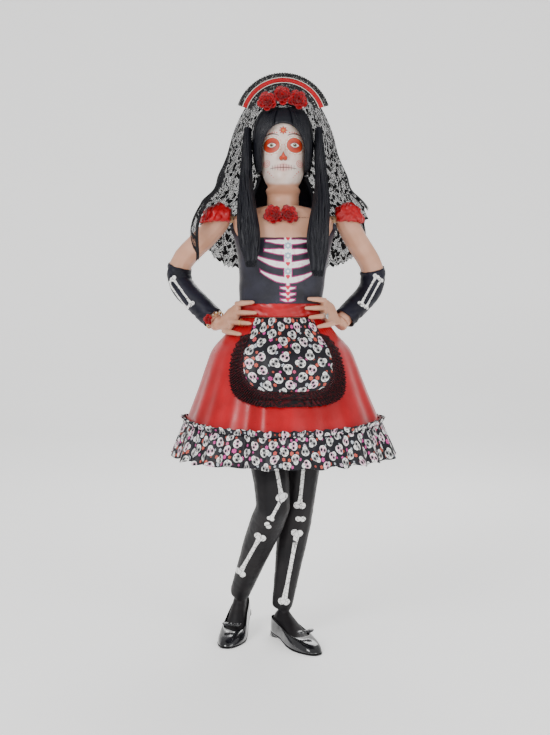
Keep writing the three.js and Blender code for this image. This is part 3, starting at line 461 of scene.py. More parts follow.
def skull_ink(look, across, up, ground):
    x, y, (first, second, third) = cells(look, across, up, SKULL_CELL / 2)
    petals = (x.math("ARCTAN2", y) * 6.0).math("COSINE") * 0.05
    size = first * 0.22 + 0.12
    away = radius_of(x, y) - size - petals
    dot = look.within(away, 0.03)
    bright = look.mix(look.ease(second, 0.45, 0.5), CORAL, PINK)
    bright = look.mix(look.ease(second, 0.72, 0.77), bright, MIST)
    ink = look.mix(dot * look.ease(third, 0.25, 0.3), ground, bright)
    ink = look.mix(look.within(radius_of(x, y) - 0.05, 0.02), ink, ground)

    along, over = across * 0.82 + up * 0.57, up * 0.82 - across * 0.57
    x, y, (first, second, third) = cells(look, along, over, SKULL_CELL)
    x, y = x + (first - 0.5) * 0.16, y + (second - 0.5) * 0.16
    angle = (third - 0.5) * 6.28
    cosine, sine = angle.math("COSINE"), angle.math("SINE")
    x, y = x * cosine + y * sine, y * cosine - x * sine
    side = abs(x)
    cranium = radius_of(x / 0.34, (y - 0.09) / 0.3) - 1.0
    jaw = radius_of(x / 0.2, (y + 0.2) / 0.2) - 1.0
    shape = cranium.math("MINIMUM", jaw)
    ink = look.mix(look.within(shape - 0.17, 0.04), ink, ground)
    bone = look.within(shape, 0.05)
    ink = look.mix(bone, ink, WHITE)
    flower = look.mix(look.ease(first, 0.6, 0.65), INK, PINK)
    eye = radius_of(side - 0.15, (y - 0.04) * 0.85)
    ink = look.mix(look.within(abs(eye - 0.135) - 0.016, 0.015) * bone, ink, flower)
    ink = look.mix(look.within(eye - 0.104, 0.015), ink, INK)
    nose = radius_of(x, (y + 0.13) / 1.5) - 0.042
    ink = look.mix(look.within(nose, 0.02), ink, INK)
    mouth = look.within(abs(y + 0.27) - 0.045, 0.02) * look.within(side - 0.14, 0.02)
    teeth = look.ease((x * 80.0).math("COSINE"), 0.1, 0.6)
    ink = look.mix(mouth * teeth, ink, INK)
    crown = radius_of(x, y - 0.29) + ((x.math("ARCTAN2", y - 0.29)) * 5.0).math("COSINE") * 0.015
    return look.mix(look.within(crown - 0.055, 0.02), ink, flower)


def skull_cloth():
    look = Look("skull_print", {"Sheen Weight": 0.02, "Specular IOR Level": 0.25})
    across, up, _ = look.split(look.map())
    cloudy = look.mottle(look.place(), 0.03)
    ground = look.mix(cloudy, colour(0.003, 0.003, 0.005), colour(0.011, 0.01, 0.016))
    look.set("Base Color", skull_ink(look, across, up, ground))
    look.set("Roughness", look.ease(cloudy, 0.2, 0.8, 0.34, 0.5))
    look.bump((look.mottle(look.place(), WEAVE, 1), 0.00008))
    return look


print_cloth = skull_cloth()
print("skulls every", SKULL_CELL, "m")

# %% [markdown]
# ## Lace and net
# Lace is mostly holes. Alpha cuts them: a fine net everywhere, and blots and petals of closed thread
# that a cellular noise scatters over it. Black trim keeps a few dark red threads.

# %% Lace
def net_of(look, across, up, pitch, open_share):
    """1 on the threads of a slanting net."""
    one, other = (across + up) / pitch, (across - up) / pitch
    away = one.math("FRACT") - 0.5
    apart = other.math("FRACT") - 0.5
    thread = abs(away).math("MAXIMUM", abs(apart))
    return look.ease(thread, open_share / 2 - 0.03, open_share / 2 + 0.03)


def lace(name, pitch, blot, open_share, closed, low, high):
    look = Look(name, {"Roughness": 0.6, "Specular IOR Level": 0.2})
    across, up, _ = look.split(look.map())
    inputs = {"Vector": look.map(), "Scale": 1 / blot, "Randomness": 0.9}
    spots = look.node("TexVoronoi", {"feature": "F1"}, inputs)
    web = look.node("TexVoronoi", {"feature": "DISTANCE_TO_EDGE"}, inputs)
    solid = look.within(spots - closed, 0.03)
    cord = look.within(web - 0.035, 0.01)
    net = net_of(look, across, up, pitch, open_share)
    cover = solid.math("MAXIMUM", net).math("MAXIMUM", cord)
    look.set("Alpha", cover)
    look.set("Base Color", look.mix(look.ease(look.mottle(look.map(), 0.006), 0.45, 0.6), low, high))
    look.bump((cover, 0.0002))
    return look


NIGHT, BLACK = colour(0.012, 0.012, 0.016), colour(0.004, 0.004, 0.005)
WINE = colour(0.06, 0.003, 0.006)
veil_lace = lace("veil_lace", 0.0028, 0.013, 0.56, 0.47, BLACK, NIGHT)
trim_lace = lace("trim_lace", 0.003, 0.008, 0.5, 0.42, BLACK, WINE)
solid_lace = knit("black_lace", BLACK, NIGHT, 0.5)
print("three laces")

# %% [markdown]
# ## Painted paper, hair, leather and metal
# Papier-mache shows the edges of the strips under its paint. Hair is dark with a long sheen. Patent
# leather is black under a hard coat, and the metals are worn where they stand out.

# %% Paper and paint
def strips(look, place):
    """Heights of torn paper strips that lie over each other."""
    inputs = {"Vector": place, "Scale": 38.0, "Randomness": 1.0}
    torn = look.node("TexVoronoi", {"feature": "F1", "distance": "CHEBYCHEV"}, inputs)
    fibres = look.mottle(place, 0.004, 4)
    return torn, fibres


def painted_paper(name, low, high):
    look = Look(name, {"Subsurface Weight": 0.06, "Coat Roughness": 0.4, "Specular IOR Level": 0.4})
    place = look.place()
    torn, fibres = strips(look, place)
    warm = look.ease(look.mottle(place, 0.06, 4), 0.3, 0.7)
    look.set("Base Color", look.mix(warm, low, high))
    look.set("Roughness", look.ease(fibres, 0.2, 0.8, 0.42, 0.58))
    look.bump((torn, 0.0005), (fibres, 0.0002))
    return look


skin_paint = painted_paper("skin_paint", colour(0.5, 0.25, 0.155), colour(0.58, 0.31, 0.21))


def plain_finish(name, low, high, grain, rough, metallic=0.0, coat=0.0, depth=0.0002):
    constants = {"Metallic": metallic, "Coat Weight": coat, "Coat Roughness": 0.06}
    look = Look(name, constants)
    place = look.place()
    worn = look.mottle(place, grain, 5)
    look.set("Base Color", look.mix(look.ease(worn, 0.3, 0.7), low, high))
    look.set("Roughness", look.ease(worn, 0.2, 0.8, *rough))
    look.bump((worn, depth))
    return look


patent = plain_finish("patent_leather", BLACK, NIGHT, 0.03, (0.12, 0.24), coat=0.6)
gold = plain_finish("gold_trim", colour(0.6, 0.38, 0.1), colour(0.85, 0.62, 0.25), 0.004, (0.2, 0.42), 1.0)
silver = plain_finish("silver_trim", colour(0.3, 0.3, 0.29), colour(0.65, 0.65, 0.63), 0.003, (0.2, 0.45),
                      1.0)
steel = plain_finish("rod_steel", colour(0.25, 0.26, 0.27), colour(0.42, 0.43, 0.44), 0.02, (0.3, 0.5), 1.0)
timber = plain_finish("timber", colour(0.33, 0.2, 0.1), colour(0.5, 0.33, 0.18), 0.012, (0.5, 0.7),
                      depth=0.0004)
pearl = plain_finish("pearl", colour(0.75, 0.68, 0.6), colour(0.85, 0.8, 0.74), 0.002, (0.15, 0.3), coat=0.5)


def petal_cloth():
    look = Look("rose_cloth", {"Sheen Weight": 0.3, "Sheen Roughness": 0.35})
    _, up, _ = look.split(look.map())
    place = look.place()
    cloudy = look.mottle(place, 0.006, 3)
    red = look.mix(look.ease(cloudy, 0.3, 0.7), colour(0.24, 0.002, 0.006), colour(0.55, 0.006, 0.014))
    shade = look.ease(up, 0.82, 1.0)
    look.set("Base Color", look.mix(shade, red, colour(0.03, 0.001, 0.002)))
    look.set("Roughness", look.ease(cloudy, 0.2, 0.8, 0.3, 0.5))
    look.bump((cloudy, 0.0003))
    return look


rose_cloth = petal_cloth()


def hair_look():
    look = Look("hair", {"Specular IOR Level": 0.28, "Coat Weight": 0.04, "Coat Roughness": 0.3})
    x, y, z = look.split(look.place())
    fine = look.mottle(look.join(x * 9.0, y * 9.0, z * 0.6), 0.012, 4)
    look.set("Base Color", look.mix(fine, colour(0.001, 0.001, 0.002), colour(0.008, 0.009, 0.016)))
    look.set("Roughness", look.ease(fine, 0.2, 0.8, 0.27, 0.42))
    look.bump((fine, 0.0008))
    return look


hair = hair_look()
print("paper, leather, metals, petals and hair")

# %% [markdown]
# ## Skirt and petticoat
# A gathered skirt is a cone of satin whose folds start as fine pleats at the waist and open into slow
# waves at the hem. One function gives the folds, so that the apron, the ruffle and the petticoat lie on
# the same waves.

# %% Skirt
SKIRT_TOP, SKIRT_BOTTOM, HEM = 0.925, 0.612, 0.533
CLOTH = 0.0014


def folds(turn, z):
    angle = np.radians(turn)
    low = ease(z, 0.93, 0.6)
    slow = 0.45 * np.cos(8 * angle + 0.5) + 0.3 * np.cos(13 * angle + 2.0) + 0.25 * np.cos(21 * angle + 4.4)
    uneven = 1 + 0.5 * np.cos(3 * angle + 1.0)
    pleats = np.cos(64 * angle + 2 * np.cos(5 * angle)) * bell(z, SKIRT_TOP, 0.035)
    return 0.0085 * low * slow * uneven + 0.0011 * pleats


def around(at, z_of, grow_of, turn_of=lambda s: 360 * s - 180):
    """A place function round a body, from a height and a growth that depend on the turn and the share up."""
    def place(s, t):
        turn = turn_of(s)
        z = z_of(turn, t)
        return round_body(at, turn, z, grow_of(turn, z, t))
    return place


def make_skirt():
    place = around(skirt_at, lambda turn, t: SKIRT_BOTTOM - 0.006 + (SKIRT_TOP - SKIRT_BOTTOM + 0.006) * t,
                   lambda turn, z, t: folds(turn, z))
    skirt = thicken(grid("satin_skirt", 360, 70, place, (1.75, 0.34), closed=True), CLOTH)
    finish_piece(skirt, red_satin, "torso", "red_satin", "skirt")


make_skirt()


# %% Petticoat
def make_petticoat():
    petticoat_at = profile("petticoat")
    low, high = (corner.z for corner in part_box("petticoat"))
    place = around(petticoat_at, lambda turn, t: low + (high - low) * t,
                   lambda turn, z, t: folds(turn, z) - 0.002 * (1 + np.cos(np.radians(50 * turn))) * (1 - t))
    petticoat = thicken(grid("petticoat_net", 300, 40, place, (1.7, 0.35), closed=True), CLOTH)
    finish_piece(petticoat, solid_lace, "torso", "black_lace", "petticoat")


make_petticoat()

# %% [markdown]
# ## Hem ruffle
# A ruffle is a strip half as long again as the seam that holds it. At the seam its gathers are small
# and many, and at its edge they have merged into deep, lazy waves. A narrow heading stands up above the
# seam.

# %% Hem ruffle
ruffle_at = profile("hem_ruffle")
SEAM = 0.612


def seam_height(turn):
    return SEAM + 0.014 * np.sin(np.radians(turn)) ** 2


def gathers(turn, drop):
    """Waves of the ruffle: drop is 0 at the seam and 1 at its edge."""
    angle = np.radians(turn)
    fine = np.cos(88 * angle + 1.5 * np.cos(7 * angle))
    wide = np.cos(27 * angle + 2.2 * np.cos(4 * angle + 1) + 0.8 * np.cos(9 * angle))
    return 0.0016 * fine * (1 - 0.7 * drop) + 0.0075 * wide * drop + 0.005 * drop


def make_ruffle():
    def height(turn, t):
        wave = 0.003 * np.cos(np.radians(27 * turn) + 1) * (1 - t)
        return HEM + wave + (seam_height(turn) - HEM) * t
    place = around(ruffle_at, height,
                   lambda turn, z, t: folds(turn, z) + gathers(turn, 1 - t) + 0.001)
    ruffle = thicken(grid("hem_ruffle_cloth", 720, 14, place, (2.34, 0.088), closed=True), CLOTH)
    finish_piece(ruffle, print_cloth, "torso", "skull_print", "hem_ruffle")

    def frill_height(turn, t):
        return seam_height(turn) + 0.016 * t + 0.002 * np.cos(np.radians(60 * turn)) * t
    frill = grid("ruffle_heading", 900, 4, around(
        ruffle_at, frill_height,
        lambda turn, z, t: folds(turn, z) + gathers(turn, 0) + 0.002
        + t * (0.006 + 0.0045 * np.cos(np.radians(74 * turn) + 2 * np.cos(np.radians(9 * turn)))),
    ), (2.6, 0.017), closed=True)
    finish_piece(thicken(frill, CLOTH), print_cloth, "torso", "skull_print")


make_ruffle()

# %% [markdown]
# ## Apron with its lace
# The apron is a printed panel with round lower corners, lying on the skirt's folds and turned a little
# with the figure. Two rows of gathered lace run round its edge. The lace's outline is the panel's,
# grown.

# %% Apron
APRON_TURN, APRON_HALF, APRON_LENGTH, CORNER = 5.0, 38.0, 0.206, 4.0
APRON_TOP = 0.9249


def apron_edge(share, grow_angle, grow_length, stand):
    sweep = np.pi * share
    power = 2 / CORNER
    wide = np.sign(np.cos(sweep)) * np.abs(np.cos(sweep)) ** power
    z = APRON_TOP - (APRON_LENGTH + grow_length) * np.sin(sweep) ** power
    turn = APRON_TURN + (APRON_HALF + grow_angle) * wide
    return round_body(skirt_at, turn, z, stand + folds(turn, z))


def make_apron():
    def place(s, t):
        down = 0.992 * (1 - t)
        wide = (1 - down ** CORNER) ** (1 / CORNER)
        turn = APRON_TURN + APRON_HALF * wide * (2 * s - 1)
        z = APRON_TOP - APRON_LENGTH * down
        lift = 0.0045 + 0.0015 * np.cos(np.radians(turn * 11)) * down
        return round_body(skirt_at, turn, z, folds(turn, z) + lift)
    panel = thicken(grid("apron_panel", 90, 70, place, (0.262, 0.215)), CLOTH)
    finish_piece(panel, print_cloth, "torso", "skull_print", "apron")

    def trim(name, inner, outer, wave, stand):
        def place(s, t):
            grow = inner + (outer - inner) * t
            rise = stand + 0.0035 * t * (1 + np.cos(wave * s)) + 0.001 * t
            scallop = 1 + 0.07 * t * np.abs(np.sin(wave * s / 4))
            share = 0.985 - 0.97 * s
            return apron_edge(share, 7 * grow * scallop, 0.027 * grow * scallop, rise)
        return thicken(grid(name, 620, 7, place, (0.9, 0.036)), 0.0007)

    under = trim("apron_lace_under", -0.1, 1.05, 420, 0.0035)
    finish_piece(under, trim_lace, "torso", "black_lace", "apron_lace")
    over = trim("apron_lace_over", -0.35, 0.35, 380, 0.0062)
    finish_piece(over, trim_lace, "torso", "black_lace")


make_apron()


# %% [markdown]
# ## Waistband, bow and tails
# The apron hangs from a wide satin band tied behind in a bow. The band is a tube with soft creases; the
# bow's loops are folded sheets, and its tails hang down on the skirt.

# %% Waistband
def make_waistband():
    low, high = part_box("waistband")[0].z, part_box("waistband")[1].z
    band_at = profile("waistband")

    def crease(turn, z, t):
        angle = np.radians(turn)
        lines = np.sin(t * 9 + 2.2 * np.cos(2 * angle) + np.cos(5 * angle))
        return 0.0009 * lines + 0.0006 * np.cos(23 * angle + 5 * t) - 0.0012 * (2 * t - 1) ** 4

    place = around(band_at, lambda turn, t: low + (high - low) * t, crease)
    band = thicken(grid("waistband_satin", 320, 20, place, (0.68, 0.038), closed=True), CLOTH)
    finish_piece(band, red_satin, "torso", "red_satin", "waistband")


make_waistband()


def loop_of(name, centre, side, length, tall, deep):
    """One loop of a bow: a band that goes out, round and back, pinched at the knot."""
    def place(s, t):
        turn = 2 * np.pi * s
        out = 0.5 * (1 - np.cos(turn))
        spread = 0.35 + 0.65 * out ** 0.6
        x = centre[0] + side * length * out
        z = centre[2] + (t - 0.5) * tall * spread - 0.25 * tall * out
        y = centre[1] + deep * np.sin(turn) * (0.6 + 0.4 * out)
        return x, y + 0.0015 * np.cos(30 * t) * (1 - out), z
    return thicken(grid(name, 48, 14, place, (2 * length, tall), closed=True), CLOTH)


def join_pieces(name, pieces):
    for one in bpy.context.selected_objects:
        one.select_set(False)
    for one in pieces:
        one.select_set(True)
    bpy.context.view_layer.objects.active = pieces[0]
    bpy.ops.object.join()
    pieces[0].name = name
    return pieces[0]


def knot_of(name, centre, size):
    def place(s, t):
        around_it, up = 2 * np.pi * s, np.pi * (0.02 + 0.96 * t)
        bulge = 1 + 0.08 * np.cos(6 * around_it)
        return (centre[0] + size[0] * bulge * np.sin(up) * np.cos(around_it),
                centre[1] + size[1] * bulge * np.sin(up) * np.sin(around_it),
                centre[2] - size[2] * np.cos(up))
    return grid(name, 32, 16, place, (0.05, 0.03), closed=True)


def make_back_bow():
    low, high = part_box("apron_bow")
    x, z, y = (low.x + high.x) / 2, (low.z + high.z) / 2 + 0.002, (low.y + high.y) / 2
    parts = [knot_of("bow_knot", (x, y, z), (0.013, 0.009, 0.015))]
    for side in (-1, 1):
        parts.append(loop_of("bow_loop", (x + side * 0.004, y, z), side, 0.076, 0.042, 0.008))
    bow = join_pieces("apron_bow_satin", parts)
    finish_piece(bow, red_satin, "torso", "red_satin", "apron_bow")
    for name, side in (("right", -1), ("left", 1)):
        def place(s, t):
            down = 1 - t
            turn = 180 + side * (5 + 9 * down) + (10 * s - 5) * (0.8 + 0.2 * down)
            z = 0.9235 - 0.19 * down + 0.012 * down * (2 * s - 1) * side
            return round_body(skirt_at, turn, z, folds(turn, z) + 0.005 + 0.0015 * np.cos(9 * s + 6 * t))
        tail = thicken(grid(f"apron_tail_{name}_satin", 14, 50, place, (0.036, 0.2)), CLOTH)
        finish_piece(tail, red_satin, "torso", "red_satin", f"apron_tail_{name}")


make_back_bow()

# %% [markdown]
# ## Bodice with printed ribs
# The bodice is stretch knit that a rib cage is printed on. Prints on a body are drawn in a plane in
# front of it, so the front faces get a map of metres across and up, and the back faces a map far
# outside the print.

# %% Prints
def front_map(made, middle):
    """A map in metres, across and up, on the faces that look forward."""
    mesh = made.data
    layer = mesh.uv_layers.get("UVMap") or mesh.uv_layers.new(name="UVMap")
    for face in mesh.polygons:
        away = 0.0 if face.normal.y < -0.02 else 5.0
        for corner, vertex in zip(face.loop_indices, face.vertices):
            point = mesh.vertices[vertex].co
            layer.data[corner].uv = (point.x - middle + away, point.z)


def bar(look, across, up, start, end, width, knob):
    """Distance to a bone between two points: a shaft with two knobs at each end."""
    start, end = Vector(start), Vector(end)
    length = (end - start).length
    along = (end - start) / length
    x, y = across - start.x, up - start.y
    run = x * along.x + y * along.y
    off = abs(y * along.x - x * along.y)
    middle = abs(run - length / 2)
    waist = look.ease(middle, length * 0.2, length * 0.5, width * 0.8, width * 1.25)
    shaft = (off - waist).math("MAXIMUM", middle - length / 2)
    ends = radius_of(middle - length / 2 + knob * 0.35, off - knob * 0.75) - knob
    return shaft.math("MINIMUM", ends)


RIBS = [
    (1.163, 0.062, 0.017, 0.0052), (1.139, 0.062, 0.004, 0.006), (1.111, 0.065, 0.005, 0.0068),
    (1.071, 0.096, 0.03, 0.0078), (1.030, 0.076, 0.026, 0.0075),
    (1.010, 0.02, 0.002, 0.0035), (0.993, 0.02, 0.002, 0.0035), (0.977, 0.019, 0.002, 0.0033),
]
MEDALLIONS = [1.168, 1.125, 1.097, 1.054]
HEARTS = [1.146, 1.075, 1.039, 1.0095, 0.9925, 0.9765]


def rib_cloth():
    look = Look("rib_knit", {"Sheen Weight": 0.25, "Sheen Roughness": 0.4, "Specular IOR Level": 0.35})
    place = look.place()
    across, up, _ = look.split(look.map())
    cloudy = look.mottle(place, 0.05, 5)
    ink = look.mix(look.ease(cloudy, 0.3, 0.7), colour(0.006, 0.006, 0.012), colour(0.018, 0.018, 0.032))
    side = abs(across)
    wavy = (look.mottle(look.map(), 0.01) - 0.5) * 0.0024
    shape = None
    for height, reach, rise, half in RIBS:
        share = side / reach
        line = height + share * share * rise - 0.004 * (1 - rise * 30)
        tip = look.ease(share, 0.3, 1.05, half, half * 0.3)
        one = (abs(up - line) - tip).math("MAXIMUM", side - reach)
        shape = one if shape is None else shape.math("MINIMUM", one)
    spine = (side - 0.0095).math("MAXIMUM", abs(up - 1.098) - 0.072)
    cartilage = (side - 0.004).math("MAXIMUM", abs(up - 1.0) - 0.03)
    shape = shape.math("MINIMUM", spine).math("MINIMUM", cartilage) + wavy
    magenta = colour(0.3, 0.012, 0.12)
    ink = look.mix(look.within(shape - 0.0032, 0.0012), ink, magenta)
    pinkish = look.mix(look.ease(look.mottle(look.map(), 0.012), 0.5, 0.7), WHITE, colour(0.8, 0.5, 0.6))
    ink = look.mix(look.within(shape, 0.0005), ink, pinkish)
    for height in MEDALLIONS:
        y = up - height
        petals = (side.math("ARCTAN2", y) * 8.0).math("COSINE") * 0.0014
        away = radius_of(side, y)
        ink = look.mix(look.within(away - petals - 0.0095, 0.0005), ink, colour(0.3, 0.4, 0.5))
        ink = look.mix(look.within(away - 0.0035, 0.0005), ink, WHITE)
    for height in HEARTS:
        y = up - height
        lobes = radius_of(side - 0.0026, y - 0.0016) - 0.0036
        point = (side * 0.8 + abs(y + 0.0004) * 0.62 - 0.0046).math("MAXIMUM", y)
        ink = look.mix(look.within(lobes.math("MINIMUM", point), 0.0004), ink, colour(0.6, 0.01, 0.05))
    look.set("Base Color", ink)
    look.set("Roughness", look.ease(look.mottle(place, 0.015), 0.2, 0.8, 0.42, 0.56))
    look.bump((look.mottle(place, 0.012, 3), 0.0006), (look.mottle(place, WEAVE, 1), 0.0001))
    return look


# %% Bodice
PRINT_X = MIDDLE_X + 0.013


def make_bodice():
    def neckline(turn):
        return 1.2435 - 0.045 * bell(turn, 0, 42)

    def tension(turn, z, t):
        angle = np.radians(turn)
        pulls = np.sin(90 * z + 3 * np.cos(2 * angle + 1)) * bell(z, 0.99, 0.06)
        bust = 0.016 * bell(z, 1.098, 0.034) * (bell(turn, -27, 19) + bell(turn, 27, 19))
        return 0.0016 * ease(z, 0.955, 0.98) + 0.0009 * pulls + bust * 0.45

    place = around(torso_at, lambda turn, t: 0.9265 + (neckline(turn) - 0.9265) * t, tension)
    bodice = thicken(grid("bodice_knit", 240, 130, place, (0.75, 0.31), closed=True), 0.0012)
    front_map(bodice, PRINT_X)
    finish_piece(bodice, rib_cloth(), "torso", "black_knit", "bodice")


make_bodice()

# %% [markdown]
# ## Roses
# A cloth rose is a spiral of cupped petals, small and upright in the middle, wide and open outside. The
# petal is one small mesh. Geometry Nodes set it on a golden-angle spiral, tip it outwards, and grow it
# with its place.

# %% Petal and rose tree
def make_petal():
    """A cupped petal that stands on the origin, with its face towards -Y."""
    def place(s, t):
        wide = np.sin(np.pi * (0.12 + 0.8 * t)) ** 0.7
        x = (2 * s - 1) * wide * 0.55
        cup = 0.42 * (x / 0.55) ** 2
        curl = -0.35 * np.clip(t - 0.7, 0, 1) ** 1.2
        frill = 0.03 * np.cos(9 * s + 2) * t
        return x, cup - 0.28 * np.sin(np.pi * t * 0.8) + curl + frill, t * 1.0
    petal = thicken(grid("petal", 8, 8, place, (1, 1)), 0.035, 0)
    petal.hide_render = petal.hide_viewport = True
    return petal


class Tree:
    """A Geometry Nodes tree: made nodes take their settings first, then their sockets."""
    def __init__(self, name, sizes):
        self.tree = bpy.data.node_groups.new(name, "GeometryNodeTree")
        face = self.tree.interface
        face.new_socket(name="Geometry", in_out="INPUT", socket_type="NodeSocketGeometry")
        for size, (kind, value) in sizes.items():
            face.new_socket(name=size, in_out="INPUT", socket_type="NodeSocket" + kind).default_value = value
        face.new_socket(name="Geometry", in_out="OUTPUT", socket_type="NodeSocketGeometry")
        self.given = self.tree.nodes.new("NodeGroupInput").outputs
        self.end = self.tree.nodes.new("NodeGroupOutput")

    def node(self, kind, settings=None, inputs=None, out=0):
        made = self.tree.nodes.new(kind)
        for name, value in (settings or {}).items():
            setattr(made, name, value)
        for key, value in (inputs or {}).items():
            if isinstance(value, bpy.types.NodeSocket):
                self.tree.links.new(value, made.inputs[key])
            else:
                made.inputs[key].default_value = value
        return made.outputs[out]

    def math(self, operation, *values):
        return self.node("ShaderNodeMath", {"operation": operation}, dict(enumerate(values)))

    def close(self, geometry, material):
        real = self.node("GeometryNodeRealizeInstances", inputs={"Geometry": geometry})
        dressed = self.node("GeometryNodeSetMaterial", inputs={"Geometry": real, "Material": material})
        self.tree.links.new(dressed, self.end.inputs[0])


def run_tree(name, tree, base=None, **sizes):
    """Runs a tree on a mesh with the given sizes, and returns the plain mesh it makes."""
    mesh = base.data.copy() if base else bpy.data.meshes.new(name)
    made = bpy.data.objects.new(name, mesh)
    bpy.context.scene.collection.objects.link(made)
    modifier = made.modifiers.new("tree", "NODES")
    modifier.node_group = tree.tree
    for item in tree.tree.interface.items_tree:
        if item.in_out == "INPUT" and item.name in sizes:
            modifier[item.identifier] = sizes[item.name]
    return settle(made)


GOLDEN = 2.39996


def rose_tree(petal):
    tree = Tree("rose", {"Petals": ("Int", 24), "Radius": ("Float", 0.02), "Seed": ("Int", 1)})
    count, radius, seed = tree.given["Petals"], tree.given["Radius"], tree.given["Seed"]
    line = tree.node("GeometryNodeMeshLine", {"mode": "OFFSET"}, {"Count": count, "Offset": (0, 0, 0)})
    index = tree.node("GeometryNodeInputIndex")
    share = tree.math("DIVIDE", index, count)
    turn = tree.math("MULTIPLY", index, GOLDEN)
    chance = tree.node("FunctionNodeRandomValue", {"data_type": "FLOAT"}, {2: -0.2, 3: 0.2, "Seed": seed},
                       out=1)
    tip = tree.math("ADD", tree.math("MULTIPLY", tree.math("POWER", share, 0.8), 1.25), chance)
    out = tree.math("MULTIPLY", tree.math("MULTIPLY", share, 0.34), radius)
    x = tree.math("MULTIPLY", tree.math("SINE", turn), out)
    y = tree.math("MULTIPLY", tree.math("MULTIPLY", tree.math("COSINE", turn), out), -1.0)
    drop = tree.math("MULTIPLY", tree.math("MULTIPLY", share, -0.25), radius)
    spot = tree.node("ShaderNodeCombineXYZ", inputs={0: x, 1: y, 2: drop})
    set_down = tree.node("GeometryNodeSetPosition", inputs={"Geometry": line, "Position": spot})
    size = tree.math("MULTIPLY", tree.math("ADD", tree.math("MULTIPLY", share, 0.5), 0.5), radius)
    angles = tree.node("ShaderNodeCombineXYZ", inputs={0: tip, 1: 0.0, 2: turn})
    picked = tree.node("GeometryNodeObjectInfo", inputs={"Object": petal}, out="Geometry")
    many = tree.node("GeometryNodeInstanceOnPoints", inputs={
        "Points": set_down, "Instance": picked, "Rotation": angles,
        "Scale": tree.node("ShaderNodeCombineXYZ", inputs={0: size, 1: size, 2: size}),
    })
    tree.close(many, rose_cloth.material)
    return tree


roses = rose_tree(make_petal())


def make_rose(name, node, body, facing, seed, scale=1.0, petals=26, sink=0.35):
    """A rose in the place of a frame part, opening along a direction."""
    low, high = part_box(node)
    centre = (low + high) / 2
    radius = 0.5 * max(high.x - low.x, high.z - low.z) * scale
    rose = run_tree(name, roses, Petals=petals, Radius=radius, Seed=seed)
    points = points_of(rose)
    turned = np.array(Vector(facing).to_track_quat("Z", "Y").to_matrix())
    points = points @ turned.T + np.array(centre) - np.array(Vector(facing).normalized()) * radius * sink
    move_points(rose, points)
    finish_piece(rose, rose_cloth, body, "rose_cloth", node)
    return rose


make_rose("collar_rose_right_cloth", "collar_rose_right", "torso", (-0.15, -1, 0.1), 3, 1.04)
make_rose("collar_rose_left_cloth", "collar_rose_left", "torso", (0.15, -1, 0.12), 8, 1.04)
make_rose("crown_rose_right_cloth", "crown_rose_right", "head", (-0.25, -1, 0.15), 11, 1.08)
make_rose("crown_rose_middle_cloth", "crown_rose_middle", "head", (0, -1, 0.2), 14, 1.08)
make_rose("crown_rose_left_cloth", "crown_rose_left", "head", (0.25, -1, 0.15), 21, 1.08)
make_rose("bracelet_rose_cloth", "bracelet_rose", "right_arm", (-0.4, -1, 0), 5, 1.0, 18)
bpy.data.objects.remove(bpy.data.objects["petal"])

# %% [markdown]
# ## Arms, hands and sleeves
# The painted arms are the frame's own forms, rebuilt as clay and smoothed. Gathered satin caps sit on
# the shoulders. Stretch gauntlets hold the forearms, creased at the elbow and wrist, with two bones
# printed on each.

# %% Arms and hands
def make_limbs():
    for side in ("right", "left"):
        body = f"{side}_arm"
        arm = clay(f"{side}_arm", f"{side}_arm_paper", 0.0032, 12)
        swell(arm, lambda p: 0.0003 * ripple(p, 0.04) - 0.0012)
        finish_piece(arm, skin_paint, body, "paper_skin", f"{side}_arm")
        hand = clay(f"{side}_hand", f"{side}_hand_paper", 0.0017, 9)
        swell(hand, lambda p: 0.0004 + 0.0003 * ripple(p, 0.006))
        finish_piece(hand, skin_paint, body, "paper_skin", f"{side}_hand")


make_limbs()


# %% Puff sleeves
def make_puffs():
    for side, pivot in (("right", -1), ("left", 1)):
        puff = clay(f"{side}_puff_sleeve", f"{side}_puff_satin", 0.0026, 10)
        centre = (points_of(puff).min(0) + points_of(puff).max(0)) / 2

        def crumple(points):
            from_middle = points - centre
            turn = np.arctan2(from_middle[:, 1], from_middle[:, 0] * pivot)
            gather = np.abs(np.sin(7 * turn + 12 * from_middle[:, 2] / 0.05 * 0.3))
            return 0.004 * gather - 0.003 + 0.005 * ripple(points, 0.016, 4.0) + 0.002 * ripple(points, 0.006)
        swell(puff, crumple)
        modify(puff, "SMOOTH", factor=0.5, iterations=2)
        finish_piece(puff, red_satin, f"{side}_arm", "red_satin", f"{side}_puff_sleeve")


make_puffs()


# %% Gauntlets
def squared(node, name, rounds=2):
    """A merged copy of a frame part whose triangles are paired, and then rounded by subdivision."""
    made = copy_of(node, name)
    mesh = bmesh.new()
    mesh.from_mesh(made.data)
    bmesh.ops.join_triangles(
        mesh, faces=mesh.faces, angle_face_threshold=1.2, angle_shape_threshold=1.6,
    )
    mesh.to_mesh(made.data)
    mesh.free()
    modify(made, "SUBSURF", levels=rounds, render_levels=rounds)
    made.data.shade_smooth()
    return made


